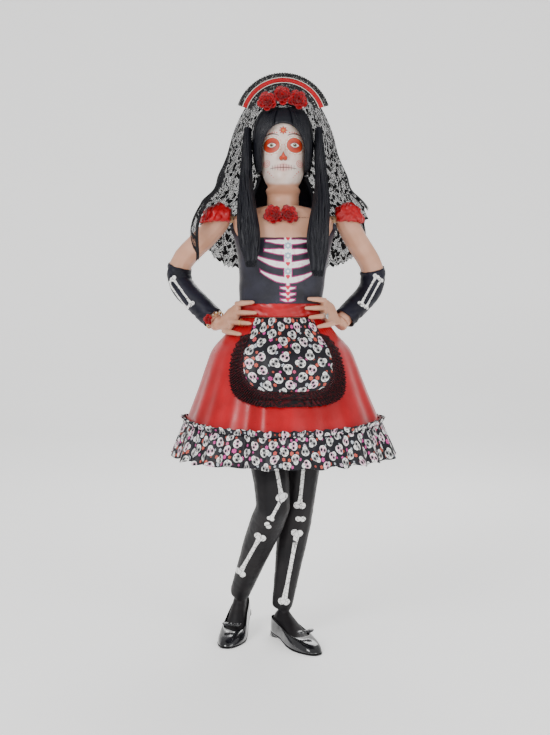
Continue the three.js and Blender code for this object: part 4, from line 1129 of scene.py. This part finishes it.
def bone_cloth(name, bones, low, high, wear=0.0016):
    """Knit with bones printed on it. A bone is its two ends, half its width and its knobs."""
    look = Look(name, {"Sheen Weight": 0.04, "Sheen Roughness": 0.4, "Specular IOR Level": 0.2})
    place = look.place()
    across, up, _ = look.split(look.map())
    cloudy = look.mottle(place, 0.06, 5)
    ink = look.mix(look.ease(cloudy, 0.3, 0.7), low, high)
    wavy = (look.mottle(look.map(), 0.008) - 0.5) * wear
    cracks = look.node("TexVoronoi", {"feature": "DISTANCE_TO_EDGE"}, {"Vector": look.map(), "Scale": 75.0})
    broken = look.mix(look.ease(cracks, 0.0, 0.05), colour(0.02, 0.02, 0.025), WHITE)
    shape = None
    for start, end, half, knob in bones:
        one = bar(look, across, up, start, end, half, knob)
        shape = one if shape is None else shape.math("MINIMUM", one)
    ink = look.mix(look.within(shape + wavy, 0.0005), ink, broken)
    look.set("Base Color", ink)
    look.set("Roughness", look.ease(look.mottle(place, 0.015), 0.2, 0.8, 0.4, 0.55))
    look.bump((look.mottle(place, 0.014, 3), 0.0008), (look.mottle(place, WEAVE, 1), 0.0001))
    return look


DUSK, COAL = colour(0.003, 0.003, 0.007), colour(0.01, 0.01, 0.02)
FOREARM_BONES = {
    "right": [((-0.305, 1.040), (-0.246, 0.962), 0.0034, 0.006),
              ((-0.318, 1.026), (-0.262, 0.95), 0.003, 0.005)],
    "left": [((0.292, 1.046), (0.243, 0.962), 0.0034, 0.006), ((0.306, 1.036), (0.259, 0.953), 0.003, 0.005)],
}


def make_gauntlets():
    for side in ("right", "left"):
        glove = squared(f"{side}_gauntlet", f"{side}_gauntlet_knit", 3)
        low, high = points_of(glove).min(0), points_of(glove).max(0)

        def crease(points):
            down = (points[:, 2] - low[2]) / (high[2] - low[2])
            wrist, elbow = bell(down, 0.12, 0.14), bell(down, 0.86, 0.16)
            waves = np.sin(points[:, 2] * 330 + 5 * ripple(points, 0.03))
            return 0.0024 + (0.0012 * wrist + 0.0012 * elbow) * waves + 0.0009 * ripple(points, 0.018)
        swell(glove, crease)
        front_map(glove, 0.0)
        look = bone_cloth(f"{side}_gauntlet_knit", FOREARM_BONES[side], DUSK, COAL)
        finish_piece(glove, look, f"{side}_arm", "black_knit", f"{side}_gauntlet")


make_gauntlets()

# %% [markdown]
# ## Legs and shoes
# The tights cover the paper legs and feet, so one clay form, a little fatter than the leg, is the
# tights. A long bone, a kneecap and a shin bone are printed on each. The shoes are patent leather with
# flat ribbon bows.

# %% Tights
LEG_BONES = {
    "right": [((-0.004, 0.53), (0.014, 0.43), 0.0062, 0.0095),
              ((0.014, 0.43), (-0.018, 0.372), 0.0055, 0.006),
              ((-0.028, 0.351), (-0.022, 0.3545), 0.004, 0.0062),
              ((-0.045, 0.318), (-0.107, 0.19), 0.006, 0.0098)],
    "left": [((0.078, 0.53), (0.064, 0.392), 0.006, 0.0098),
             ((0.067, 0.3535), (0.0675, 0.3575), 0.004, 0.0085),
             ((0.058, 0.318), (0.02, 0.108), 0.0066, 0.0098)],
}


def make_tights():
    for side in ("right", "left"):
        leg = clay(f"{side}_leg", f"{side}_tights", 0.0042, 14)
        swell(leg, lambda p: 0.0034 + 0.0006 * ripple(p, 0.02))
        front_map(leg, 0.0)
        look = bone_cloth(f"{side}_tights_knit", LEG_BONES[side], colour(0.005, 0.0045, 0.006),
                          colour(0.013, 0.011, 0.012))
        finish_piece(leg, look, "torso", "black_knit", f"{side}_leg", f"{side}_tights_leg")
    low, high = (corner.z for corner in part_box("tights_brief"))
    brief_at = profile("tights_brief")
    place = around(brief_at, lambda turn, t: low + (high - low) * t,
                   lambda turn, z, t: 0.0006 * np.cos(np.radians(36 * turn)) * t)
    brief = thicken(grid("tights_top", 160, 24, place, (0.8, high - low), closed=True), 0.0012)
    finish_piece(brief, dark_knit, "torso", "black_knit", "tights_brief")


make_tights()


# %% Shoes
def make_shoes():
    for side in ("right", "left"):
        upper = squared(f"{side}_shoe_upper", f"{side}_shoe_leather", 3)
        swell(upper, lambda p: 0.0006 * ripple(p, 0.02))
        finish_piece(upper, patent, "torso", "patent_leather", f"{side}_shoe_upper")
        for part in ("sole", "heel"):
            made = copy_of(f"{side}_shoe_{part}", f"{side}_shoe_{part}_leather")
            modify(made, "BEVEL", width=0.0008, segments=2, limit_method="ANGLE")
            finish_piece(made, patent, "torso", "patent_leather", f"{side}_shoe_{part}")
        bow = clay(f"{side}_shoe_bow", f"{side}_shoe_ribbon", 0.0009, 5)
        low, high = points_of(bow).min(0), points_of(bow).max(0)
        middle = (low + high) / 2

        def pinch(points):
            away = np.abs(points[:, 0] - middle[0])
            return -0.0012 * bell(away, 0.0065, 0.002) + 0.0007 * np.sin(points[:, 2] * 1500)
        swell(bow, pinch)
        finish_piece(bow, patent, "torso", "patent_leather", f"{side}_shoe_bow")


make_shoes()

# %% [markdown]
# ## Head and painted face
# The head is one sheet wrapped round a profile of level rings. Soft bell-shaped pushes raise the brow,
# nose, lips and chin and sink the eye sockets, in the calm proportions of a drawing book: eyes half way
# up, nose and mouth on the quarters below. The sugar-skull paint is drawn in the plane of the face.

# %% Head
CHIN, TALL = 1.297, 0.218
EYE_DISC, EYE_HALF_HEIGHT, IRIS, PUPIL, GLINT = 0.0232, 0.0066, 0.0056, 0.0026, 0.0009
MOUTH_HALF, STITCH_GAP = 0.037, 0.0074
HEAD_ROWS = np.array([
    (-0.34, 0.046, 0.046, 0.008), (-0.2, 0.046, 0.046, 0.008), (-0.1, 0.046, 0.047, 0.005),
    (-0.035, 0.049, 0.062, -0.003), (0.0, 0.044, 0.069, -0.007), (0.06, 0.05, 0.076, -0.008),
    (0.2, 0.061, 0.086, -0.004), (0.38, 0.068, 0.093, 0.002), (0.56, 0.071, 0.096, 0.005),
    (0.72, 0.069, 0.094, 0.008), (0.86, 0.058, 0.08, 0.01), (0.95, 0.038, 0.055, 0.01),
    (1.0, 0.004, 0.006, 0.01),
])
EYE_X, EYE_Z = 0.0325, CHIN + 0.5 * TALL


def along_rows(rows, at):
    """A rounded path through rows, sampled by the first column."""
    slopes = np.gradient(rows[:, 1:], rows[:, 0], axis=0)
    i = np.clip(np.searchsorted(rows[:, 0], at) - 1, 0, len(rows) - 2)
    span = (rows[i + 1, 0] - rows[i, 0])[..., None]
    t = np.clip((at - rows[i, 0])[..., None] / span, 0, 1)
    low, high = rows[i, 1:], rows[i + 1, 1:]
    curve = low + (high - low) * t * t * (3 - 2 * t)
    curve = curve + t * (1 - t) * span * ((1 - t) * slopes[i] - t * slopes[i + 1])
    return np.moveaxis(curve, -1, 0)


def spot(x, h, at_x, at_h, wide, tall):
    return np.exp(-(((np.abs(x) - at_x) / wide) ** 2) - ((h - at_h) * TALL / tall) ** 2)


def features(x, h):
    """How far the face stands out of its plain profile."""
    bridge = ease(h, 0.55, 0.345) * ease(h, 0.29, 0.335)
    nose = 0.0185 * bridge * np.exp(-((x / (0.0068 + 0.0035 * ease(h, 0.45, 0.33))) ** 2))
    nose += 0.005 * spot(x, h, 0.0115, 0.325, 0.0055, 0.0065)
    sockets = -0.0085 * spot(x, h, EYE_X, 0.505, 0.0185, 0.0145)
    balls = 0.0058 * spot(x, h, EYE_X, 0.498, 0.0125, 0.0085)
    brow = 0.0036 * spot(x, h, 0.027, 0.575, 0.023, 0.008)
    cheeks = 0.0035 * spot(x, h, 0.041, 0.37, 0.019, 0.024)
    lips = 0.0042 * spot(x, h, 0.004, 0.233, 0.018, 0.0048)
    lips += 0.0052 * spot(x, h, 0.0, 0.192, 0.0165, 0.0052)
    mouth = -0.0034 * spot(x, h, 0.0, 0.213, 0.023, 0.0018)
    hollow = -0.002 * spot(x, h, 0.0, 0.145, 0.014, 0.006)
    chin = 0.0055 * spot(x, h, 0.0, 0.065, 0.0165, 0.0135)
    return nose + sockets + balls + brow + cheeks + lips + mouth + hollow + chin


def make_head():
    def place(s, t):
        h = -0.34 + 1.34 * t
        turn = -2 * np.pi * s
        a, b, y = along_rows(HEAD_ROWS, h)
        facing = ease(-np.cos(turn), 0.05, 0.6)
        x = a * np.sin(turn)
        front = y + b * np.cos(turn) - features(x, h) * facing
        return MIDDLE_X + x, front, CHIN + h * TALL
    made = grid("head_paper", 300, 300, place, (0.45, 0.3), closed=True)
    front_map(made, MIDDLE_X)
    return made


def painted_face():
    look = Look("face_paint", {"Subsurface Weight": 0.05, "Coat Weight": 0.12, "Coat Roughness": 0.35})
    place = look.place()
    across, up, _ = look.split(look.map())
    torn, fibres = strips(look, place)
    side, height = abs(across), up - EYE_Z
    cloudy = look.ease(look.mottle(place, 0.03, 4), 0.3, 0.7)
    paint = look.mix(cloudy, colour(0.58, 0.45, 0.38), colour(0.7, 0.58, 0.52))
    below = look.ease(up - side * side * 4.0, CHIN - 0.004, CHIN + 0.006)
    paint = look.mix(below, colour(0.52, 0.27, 0.17), paint)
    dark, ember = colour(0.03, 0.012, 0.01), colour(0.5, 0.045, 0.012)
    blush, gilt = colour(0.55, 0.02, 0.02), colour(0.45, 0.2, 0.05)

    def ink(area, tint, edge=0.0005):
        return look.mix(look.within(area, edge), paint, tint)

    def petals(x, y, count, depth):
        return (x.math("ARCTAN2", y) * count).math("COSINE") * depth

    x, y = side - EYE_X, height * 1.08
    disc = radius_of(x, y)
    scallops = petals(x, y, 16.0, 0.0013)
    paint = ink(disc - scallops - 0.0268, gilt)
    paint = ink(disc - scallops - 0.0256, colour(0.8, 0.7, 0.62))
    paint = ink(disc - EYE_DISC, dark)
    shade = look.ease(disc, 0.008, EYE_DISC - 0.0002)
    paint = look.mix(look.within(disc - EYE_DISC + 0.001, 0.0005), paint,
                     look.mix(shade, colour(0.3, 0.02, 0.01), ember))
    for turn in range(12):
        angle = math.radians(turn * 30)
        dot = radius_of(x - 0.0292 * math.sin(angle), y - 0.0292 * math.cos(angle))
        paint = ink(dot - 0.0011, blush)
    lens = abs(y - 0.001) + x * x * 46.0
    paint = ink(lens - 0.0078, dark)
    paint = ink(lens - EYE_HALF_HEIGHT, colour(0.78, 0.76, 0.72))
    iris = radius_of(x, y - 0.0012)
    inside = look.within(lens - EYE_HALF_HEIGHT, 0.0004)
    rays = look.ease(look.mottle(look.map(), 0.0012), 0.4, 0.6)
    paint = look.mix(look.within(iris - IRIS, 0.0004) * inside, paint,
                     look.mix(rays, colour(0.09, 0.07, 0.03), colour(0.2, 0.17, 0.08)))
    paint = look.mix(look.within(iris - PUPIL, 0.0003) * inside, paint, INK)
    paint = ink(radius_of(x + 0.0016, y - 0.0032) - GLINT, WHITE)
    brow = abs(height - 0.0325 + x * x * 14.0) + abs(x) * 0.05
    paint = ink((brow - 0.0022).math("MAXIMUM", abs(x) - 0.02), colour(0.06, 0.02, 0.015))

    nose_y = up - (CHIN + 0.345 * TALL)
    lobe = radius_of(side - 0.0052, nose_y + 0.004) - 0.0052
    tip = (side * 0.9 + (nose_y - 0.012) * 0.42).math("MAXIMUM", -nose_y - 0.004)
    paint = ink(lobe.math("MINIMUM", tip) - 0.0012, dark)
    paint = ink(lobe.math("MINIMUM", tip), ember)

    mouth_y = up - (CHIN + 0.213 * TALL)
    paint = ink((abs(mouth_y) - 0.0125 + side * 0.42).math("MAXIMUM", side - 0.03),
                colour(0.62, 0.36, 0.33), 0.004)
    paint = ink((abs(mouth_y + side * side * 1.5) - 0.0008).math("MAXIMUM", side - MOUTH_HALF), dark)
    stitch = abs(((side + 0.003) / STITCH_GAP).math("FRACT") - 0.5) * STITCH_GAP
    bars = (stitch - 0.0005).math("MAXIMUM", abs(mouth_y) + side * 0.08 - 0.009)
    paint = ink(bars.math("MAXIMUM", side - 0.034), dark)

    x, y = side - 0.047, up - (CHIN + 0.27 * TALL)
    curl = radius_of(x, y)
    coil = (curl / 0.0042 - x.math("ARCTAN2", y) * (1 / (2 * math.pi))).math("FRACT") - 0.5
    paint = ink((abs(coil) * 0.0042 - 0.0007).math("MAXIMUM", curl - 0.0105), blush)
    for step in range(4):
        dot = radius_of(side - 0.043 + 0.005 * step, up - (CHIN + (0.17 - 0.025 * step) * TALL))
        paint = ink(dot - 0.0017 + 0.0002 * step, blush)
    x, y = across, up - (CHIN + 0.69 * TALL)
    bloom = radius_of(x, y)
    paint = ink(bloom - petals(x, y, 8.0, 0.0022) - 0.0098, dark)
    paint = ink(bloom - petals(x, y, 8.0, 0.0022) - 0.0088, ember)
    paint = ink(bloom - 0.0035, gilt)
    for step in range(5):
        lift = 0.66 + 0.012 * step - 0.004 * step * step
        dot = radius_of(side - 0.018 - 0.0065 * step, up - (CHIN + lift * TALL))
        paint = ink(dot - 0.002 + 0.0002 * step, blush)
    look.set("Base Color", paint)
    look.set("Roughness", look.ease(fibres, 0.2, 0.8, 0.36, 0.52))
    look.bump((torn, 0.0003), (fibres, 0.00015))
    return look


finish_piece(make_head(), painted_face(), "head", "paper_face", "head")

# %% [markdown]
# ## Hair
# Hair is thousands of strands, but a bundle of a few hundred thick ones reads the same. Each strand is
# first a bare line of points; a Geometry Nodes tree turns every line into a tapering tube. Lines follow
# the wig's cap away from the parting, and hang in two locks and a fall behind.

# %% Strand tree
def strand_tree():
    tree = Tree("strand", {"Thickness": ("Float", 0.002), "Sides": ("Int", 5)})
    lines = tree.node("GeometryNodeMeshToCurve", inputs={"Mesh": tree.given["Geometry"]})
    share = tree.node("GeometryNodeSplineParameter", out="Factor")
    rest = tree.math("SUBTRACT", 1.0, tree.math("POWER", share, 6.0))
    thin = tree.math("MULTIPLY", tree.math("ADD", tree.math("MULTIPLY", rest, 0.85), 0.15),
                     tree.given["Thickness"])
    ring = tree.node("GeometryNodeCurvePrimitiveCircle",
                     inputs={"Resolution": tree.given["Sides"], "Radius": 1.0})
    tube = tree.node("GeometryNodeCurveToMesh",
                     inputs={"Curve": lines, "Profile Curve": ring, "Scale": thin, "Fill Caps": True})
    smooth = tree.node("GeometryNodeSetShadeSmooth", inputs={"Geometry": tube})
    tree.close(smooth, hair.material)
    return tree


strand = strand_tree()


def lines_of(name, paths):
    """One bare line of edges for each path."""
    count, length = paths.shape[:2]
    edges = [(i * length + k, i * length + k + 1) for i in range(count) for k in range(length - 1)]
    mesh = bpy.data.meshes.new(name)
    mesh.from_pydata(paths.reshape(-1, 3).tolist(), edges, [])
    return bpy.data.objects.new(name, mesh)


def make_strands(name, paths, thickness, sides=4):
    """Tapering tubes along paths."""
    return run_tree(name, strand, lines_of(name + "_lines", paths), Thickness=thickness, Sides=sides)


# %% Wig cap
WIG_RIM, CROWN_TOP = CHIN + 0.038, CHIN + TALL
FALL_LENGTH = 0.225
WIG_ROWS = np.array([(CHIN + h * TALL + 0.013 * float(ease(h, 0.5, 1.0)), a + 0.013, b + 0.013, y)
                     for h, a, b, y in HEAD_ROWS[6:]])
dice = np.random.default_rng(11)


def wig_point(turn, z, grow):
    a, b, y = along_rows(WIG_ROWS, z)
    return np.stack([MIDDLE_X + (a + grow) * np.sin(turn), y - (b + grow) * np.cos(turn), z], -1)


def window_turn(z):
    """The least turn from the front that hair keeps, to leave the face open."""
    rise = np.clip((z - 1.39) / 0.076, 0, 1)
    half = 0.061 * np.sqrt(1 - rise * rise)
    a = along_rows(WIG_ROWS, z)[0]
    return np.arcsin(np.clip(half / (a + 0.002), 0, 1))


def make_cap():
    base = clay("wig_cap", "wig_base", 0.0026, 10)
    count, length = 1100, 18
    side = np.where(dice.random(count) < 0.5, -1.0, 1.0)
    start = dice.random(count)
    finish = 0.16 + 0.84 * dice.random(count) ** 0.8
    t = np.linspace(0, 1, length)[None, :]
    top, low = CROWN_TOP + 0.0125, WIG_RIM + 0.002 + 0.004 * dice.random(count)
    z = top - (top - low[:, None]) * np.sin(np.pi / 2 * t) ** 1.6
    wander = 0.03 * np.sin(6 * t + 6 * start[:, None]) * t
    turn = np.pi * (finish[:, None] * (0.35 + 0.65 * np.sqrt(t)) + wander)
    turn = np.clip(turn, window_turn(z) + 0.02 + 0.3 * start[:, None] ** 3, np.pi)
    lift = 0.0002 + 0.0022 * dice.random(count)[:, None] + 0.001 * np.sin(9 * t + 9 * start[:, None])
    paths = wig_point(turn * side[:, None], z, lift)
    cover = make_strands("wig_cap_strands", paths, 0.0017)
    cap = join_pieces("wig_cap_hair", [base, cover])
    finish_piece(cap, hair, "head", "hair", "wig_cap")


make_cap()


def finish_hair(made, *nodes):
    made.data.materials.clear()
    made.data.materials.append(hair.material)
    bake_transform(made)
    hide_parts(*nodes)
    print(made.name, len(made.data.polygons), "faces")


def make_lock(side, count=420, length=34):
    node = f"wig_lock_{side}"
    base = clay(node, f"{node}_base", 0.0028, 8)
    cloud = points_of(base)
    low, high = cloud[:, 2].min(), cloud[:, 2].max()
    rows = []
    for z in np.linspace(low + 0.004, high - 0.003, 24):
        ring = cloud[np.abs(cloud[:, 2] - z) < 0.005]
        small, big = ring.min(0), ring.max(0)
        rows.append([z, *((big - small) / 2)[:2], *((big + small) / 2)[:2]])
    rows = np.array(rows)
    t = np.linspace(0, 1, length)[None, :]
    reach = low - 0.012 + 0.05 * dice.random(count)[:, None] ** 2
    z = high - 0.002 - (high - reach) * t
    a, b, x, y = along_rows(rows, np.clip(z, low + 0.004, high - 0.003))
    theta, rho = 2 * np.pi * dice.random(count)[:, None], dice.random(count)[:, None] ** 0.35
    turning = theta + 0.5 * np.sin(2.5 * t + 6 * dice.random(count)[:, None])
    wave = 0.0035 * np.sin(7 * t + 2 * theta) * t
    taper = 1.02 - 0.25 * ease(t, 0.8, 1.0)
    paths = np.stack([
        x + (a * rho * np.cos(turning)) * taper + wave,
        y + (b * rho * np.sin(turning)) * taper,
        z,
    ], -1)
    swell(base, lambda p: -0.0022 + 0.0012 * np.sin(420 * p[:, 0] + 260 * p[:, 1]))
    made = join_pieces(f"{node}_hair", [base, make_strands(f"{node}_strands", paths, 0.0019)])
    finish_hair(made, node)


def make_fall(count=520, length=24):
    s, t = dice.random(count)[:, None], np.linspace(0, 1, length)[None, :]
    down = t * (0.9 + 0.12 * dice.random(count)[:, None])

    def place(s, down, grow):
        flat = ease(down, 0, 0.45)
        a, b, y = along_rows(WIG_ROWS, np.full_like(down * s, WIG_RIM + 0.001))
        angle = np.radians((2 * s - 1) * (68 + (38 - 68) * flat))
        wide, deep = a + (0.142 - a) * flat + grow, b + (0.118 - b) * flat + grow
        return (MIDDLE_X + wide * np.sin(angle), y * (1 - flat) + deep * np.cos(angle),
                WIG_RIM - 0.0006 - FALL_LENGTH * down)

    base = thicken(grid("fall_base", 60, 40, lambda a, b: place(a, 1 - b, -0.003), (0.2, FALL_LENGTH)),
                   0.006, 0)
    grow = -0.004 + 0.008 * dice.random(count)[:, None] + 0.001 * np.sin(8 * t + 9 * s)
    paths = np.stack(place(s + 0.01 * np.sin(5 * t + 20 * s), down, grow), -1)
    made = join_pieces("wig_back_fall_hair", [base, make_strands("fall_strands", paths, 0.002)])
    finish_hair(made, "wig_back_fall")


make_lock("right")
make_lock("left")
make_fall()

# %% [markdown]
# ## Crown
# A stiff fan of gathered lace stands up behind the roses. A satin ribbon runs along it between two rows
# of small white beads. The pleats are one wave round an arc; the beads repeat, so Geometry Nodes set
# them out.

# %% Fan
FAN_Z = CROWN_TOP - 0.033
FAN_Y, SPREAD = -0.04, 71.0
OUTER_EDGE, INNER_EDGE, FAN_NET = (0.119, 0.1365), (0.11, 0.0925), (0.107, 0.122)
RIBBON_BAND, BEAD_ARCS = (0.1085, 0.1205), (0.1072, 0.1215)
BEAD_GAP, BEAD_RADIUS = 0.0029, 0.0013


def arc_place(inner, outer, depth_of):
    def place(s, t):
        angle = np.radians(SPREAD * (2 * s - 1))
        radius = inner + (outer - inner) * t
        return MIDDLE_X + radius * np.sin(angle), FAN_Y + depth_of(s, t), FAN_Z + radius * np.cos(angle)
    return place


def check_lace():
    """Black lace worked over white net."""
    look = Look("check_lace", {"Roughness": 0.6, "Sheen Weight": 0.1})
    threads = look.node("TexVoronoi", {"feature": "DISTANCE_TO_EDGE"}, {"Vector": look.map(), "Scale": 330.0})
    web = look.within(threads - 0.1, 0.04)
    flowers = look.node("TexVoronoi", {"feature": "F1"},
                        {"Vector": look.map(), "Scale": 120.0, "Randomness": 0.4})
    white = look.within(flowers - 0.3, 0.05)
    look.set("Base Color", look.mix(web, look.mix(white, INK, colour(0.55, 0.55, 0.52)), BLACK))
    look.bump((web, 0.0003))
    return look


fan_lace = check_lace()


def make_fan():
    def pleats(count, deep, sink):
        def height(s, t):
            return deep * np.cos(2 * np.pi * count * s + 1.5 * np.sin(9 * s)) * (0.25 + 0.75 * t) - sink
        return height
    outer = thicken(grid("fan_outer", 640, 12, arc_place(*OUTER_EDGE, pleats(46, 0.0042, 0.0005)),
                         (0.62, 0.02)), 0.0008)
    inner = thicken(grid("fan_inner", 560, 10, arc_place(*INNER_EDGE, pleats(40, 0.003, 0.0005)),
                         (0.5, 0.018)), 0.0008)
    middle = thicken(grid("fan_middle", 200, 6, arc_place(*FAN_NET, lambda s, t: 0 * s), (0.3, 0.015)),
                     0.0012)
    fan = join_pieces("crown_fan_lace", [outer, inner, middle])
    finish_piece(fan, fan_lace, "head", "black_lace", "crown_fan")

    def gathered(s, t):
        gather = np.cos(2 * np.pi * 58 * s + 2 * np.sin(14 * s))
        return -0.0052 - 0.0022 * np.sin(np.pi * t) + 0.0009 * gather
    ribbon = thicken(grid("crown_ribbon_satin", 700, 10, arc_place(*RIBBON_BAND, gathered),
                          (0.3, 0.0135)), CLOTH)
    finish_piece(ribbon, red_satin, "head", "red_satin", "crown_ribbon")


make_fan()


# %% Beads
def bead_tree():
    tree = Tree("beads", {"Gap": ("Float", 0.003), "Radius": ("Float", 0.0012),
                          "Material": ("Material", None)})
    lines = tree.node("GeometryNodeMeshToCurve", inputs={"Mesh": tree.given["Geometry"]})
    even = tree.node("GeometryNodeResampleCurve", {"mode": "LENGTH"},
                     {"Curve": lines, "Length": tree.given["Gap"]})
    ball = tree.node("GeometryNodeMeshIcoSphere", inputs={"Radius": tree.given["Radius"], "Subdivisions": 2})
    smooth = tree.node("GeometryNodeSetShadeSmooth", inputs={"Geometry": ball})
    many = tree.node("GeometryNodeInstanceOnPoints", inputs={"Points": even, "Instance": smooth})
    tree.close(many, tree.given["Material"])
    return tree


beads = bead_tree()


def bead_row(name, path, gap, radius, look):
    line = lines_of(name + "_line", np.array([path]))
    return run_tree(name, beads, line, Gap=gap, Radius=radius, Material=look.material)


def make_crown_trim():
    rows = []
    for radius in BEAD_ARCS:
        angles = np.radians(np.linspace(-SPREAD, SPREAD, 160))
        path = [(MIDDLE_X + radius * math.sin(a), FAN_Y - 0.0062,
                 FAN_Z + radius * math.cos(a)) for a in angles]
        rows.append(bead_row(f"crown_beads_{len(rows)}", path, BEAD_GAP, BEAD_RADIUS, pearl))
    trim = join_pieces("crown_bead_rows", rows)
    finish_piece(trim, pearl, "head", "black_lace")
    for node, name in (("headband", "headband_cloth"), ("crown_backing", "crown_backing_cloth")):
        made = squared(node, name, 2)
        finish_piece(made, solid_lace, "head", "black_lace", node)


make_crown_trim()

# %% [markdown]
# ## Veil
# The veil hangs from the fan over the hair, rests on the shoulders and falls to a point in front of the
# right arm. Its sheet follows the wig at the top and squares itself over the shoulders, with long folds
# that open downwards. The lace is cut by alpha, so the hair and sleeves show through.

# %% Veil
VEIL_RIGHT, VEIL_LEFT = -122.0, 100.0
VEIL_FOLDS = ((0.0065, 0.42, 0.6), (0.004, 0.77, 2), (0.002, 1.6, 0))
VEIL_ROWS = np.array([
    (1.086, 0.264, 0.128), (1.216, 0.254, 0.128), (1.264, 0.224, 0.128), (1.291, 0.196, 0.13),
    (1.334, 0.182, 0.134), (1.378, 0.163, 0.138), (1.449, 0.142, 0.146), (1.515, 0.111, 0.138),
    (1.56, 0.08, 0.088), (1.586, 0.036, 0.044), (1.592, 0.014, 0.018),
])
ON_ARM = 1.23
HANGS = np.array([
    (-122, 1.085), (-114, 1.092), (-100, ON_ARM), (-74, ON_ARM), (-58, 1.15), (-40, 1.09), (0, 1.082),
    (40, 1.09), (58, 1.14), (74, ON_ARM), (100, ON_ARM),
])


def make_veil():
    def place(s, t):
        share = VEIL_RIGHT + (VEIL_LEFT - VEIL_RIGHT) * s
        (bottom,) = along_rows(HANGS, share)
        z = bottom + 0.004 * np.cos(share * 1.9) * (1 - t) + (1.592 - bottom) * t
        narrow = ease(z, 1.33, 1.5)
        edge = np.where(share < 0, -VEIL_RIGHT, VEIL_LEFT)
        angle = np.radians(share * (1 + (90 / edge - 1) * narrow))
        a, b = along_rows(VEIL_ROWS, z)
        power = 2 / (2.6 + (2 - 2.6) * narrow)
        sine, cosine = np.sin(angle), np.cos(angle)
        middle = 0.018 + (0.004 - 0.018) * ease(z, 1.206, 1.378) + (-0.034 - 0.004) * ease(z, 1.378, 1.515)
        low = ease(z, 1.5, 1.15)
        wave = low * sum(deep * np.cos(share * rate + start) for deep, rate, start in VEIL_FOLDS)
        return (MIDDLE_X + (a + wave) * np.sign(sine) * np.abs(sine) ** power,
                middle + (b + wave) * np.sign(cosine) * np.abs(cosine) ** power, z)
    veil = grid("veil_lace_cloth", 260, 150, place, (0.8, 0.5))
    veil.data.materials.append(veil_lace.material)
    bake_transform(veil)
    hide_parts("veil")


make_veil()

# %% [markdown]
# ## Jewels
# A chain of small gold and pearl beads, a plain gold ring and a large silver ring with a dark oval
# stone.

# %% Jewels
def ring_axis(node):
    """Middle, axis and mean radius of a frame ring."""
    points = points_of(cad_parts[node])
    middle = (points.min(0) + points.max(0)) / 2
    axes = np.linalg.svd(points - points.mean(0), full_matrices=False)[2]
    away = points - middle
    away = away - (away @ axes[2])[:, None] * axes[2]
    return middle, axes, np.linalg.norm(away, axis=1).mean()


def circle_path(node, count=60, wobble=0.0):
    middle, axes, radius = ring_axis(node)
    turns = np.linspace(0, 2 * np.pi, count)
    return [middle + radius * (np.cos(a) * axes[0] + np.sin(a) * axes[1]) + wobble * np.sin(9 * a) * axes[2]
            for a in turns]


def make_jewels():
    chain = bead_row("bracelet_gold", circle_path("bracelet", 90, 0.0012), 0.0062, 0.0024, gold)
    pearls = bead_row("bracelet_pearls",
                      [p + np.array([0, 0, 0.0031]) for p in circle_path("bracelet", 90, 0.0012)],
                      0.0124, 0.0026, pearl)
    finish_piece(chain, gold, "right_arm", "gold_trim", "bracelet")
    finish_piece(pearls, pearl, "right_arm", "gold_trim")
    for node, look in (("right_ring", gold), ("left_ring", silver), ("left_ring_stone", silver)):
        made = squared(node, f"{node}_metal", 2)
        finish_piece(made, look, "right_arm" if node == "right_ring" else "left_arm",
                     "gold_trim" if look is gold else "silver_trim", node)


make_jewels()

# %% [markdown]
# ## What the frame still shows
# Parts whose shape is already right keep it, and take a finish.

# %% Finish the frame parts
def finish_nodes(look, *nodes):
    for node in nodes:
        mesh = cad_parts[node].data
        mesh.materials.clear()
        mesh.materials.append(look.material)


finish_nodes(timber, "hip_block", "spine_post", "shoulder_bar", "neck_bush")
finish_nodes(steel, "right_leg_rod", "left_leg_rod")
finish_nodes(skin_paint, "torso_front_shell", "torso_back_shell")


# %% Floor
def make_floor():
    look = Look("floor", {"Specular IOR Level": 0.1, "Emission Color": WHITE, "Emission Strength": 0.55})
    dust = look.mottle(look.place(), 0.4, 3)
    look.set("Base Color", look.mix(dust, colour(0.86, 0.86, 0.86), colour(0.9, 0.9, 0.9)))
    look.set("Roughness", look.ease(dust, 0.2, 0.8, 0.7, 0.85))
    far, wall = 9.0, 5.0
    sweep = [(-4.5, 0.0), (3.2, 0.0), (3.9, 0.12), (4.3, 0.5), (4.5, 1.2), (4.5, wall)]
    points = [(x, y, z - 0.0006) for x in (-far, far) for y, z in sweep]
    count = len(sweep)
    faces = [[i, i + count, i + count + 1, i + 1] for i in range(count - 1)]
    floor = add("floor", points, faces)
    floor.data.materials.append(look.material)


make_floor()
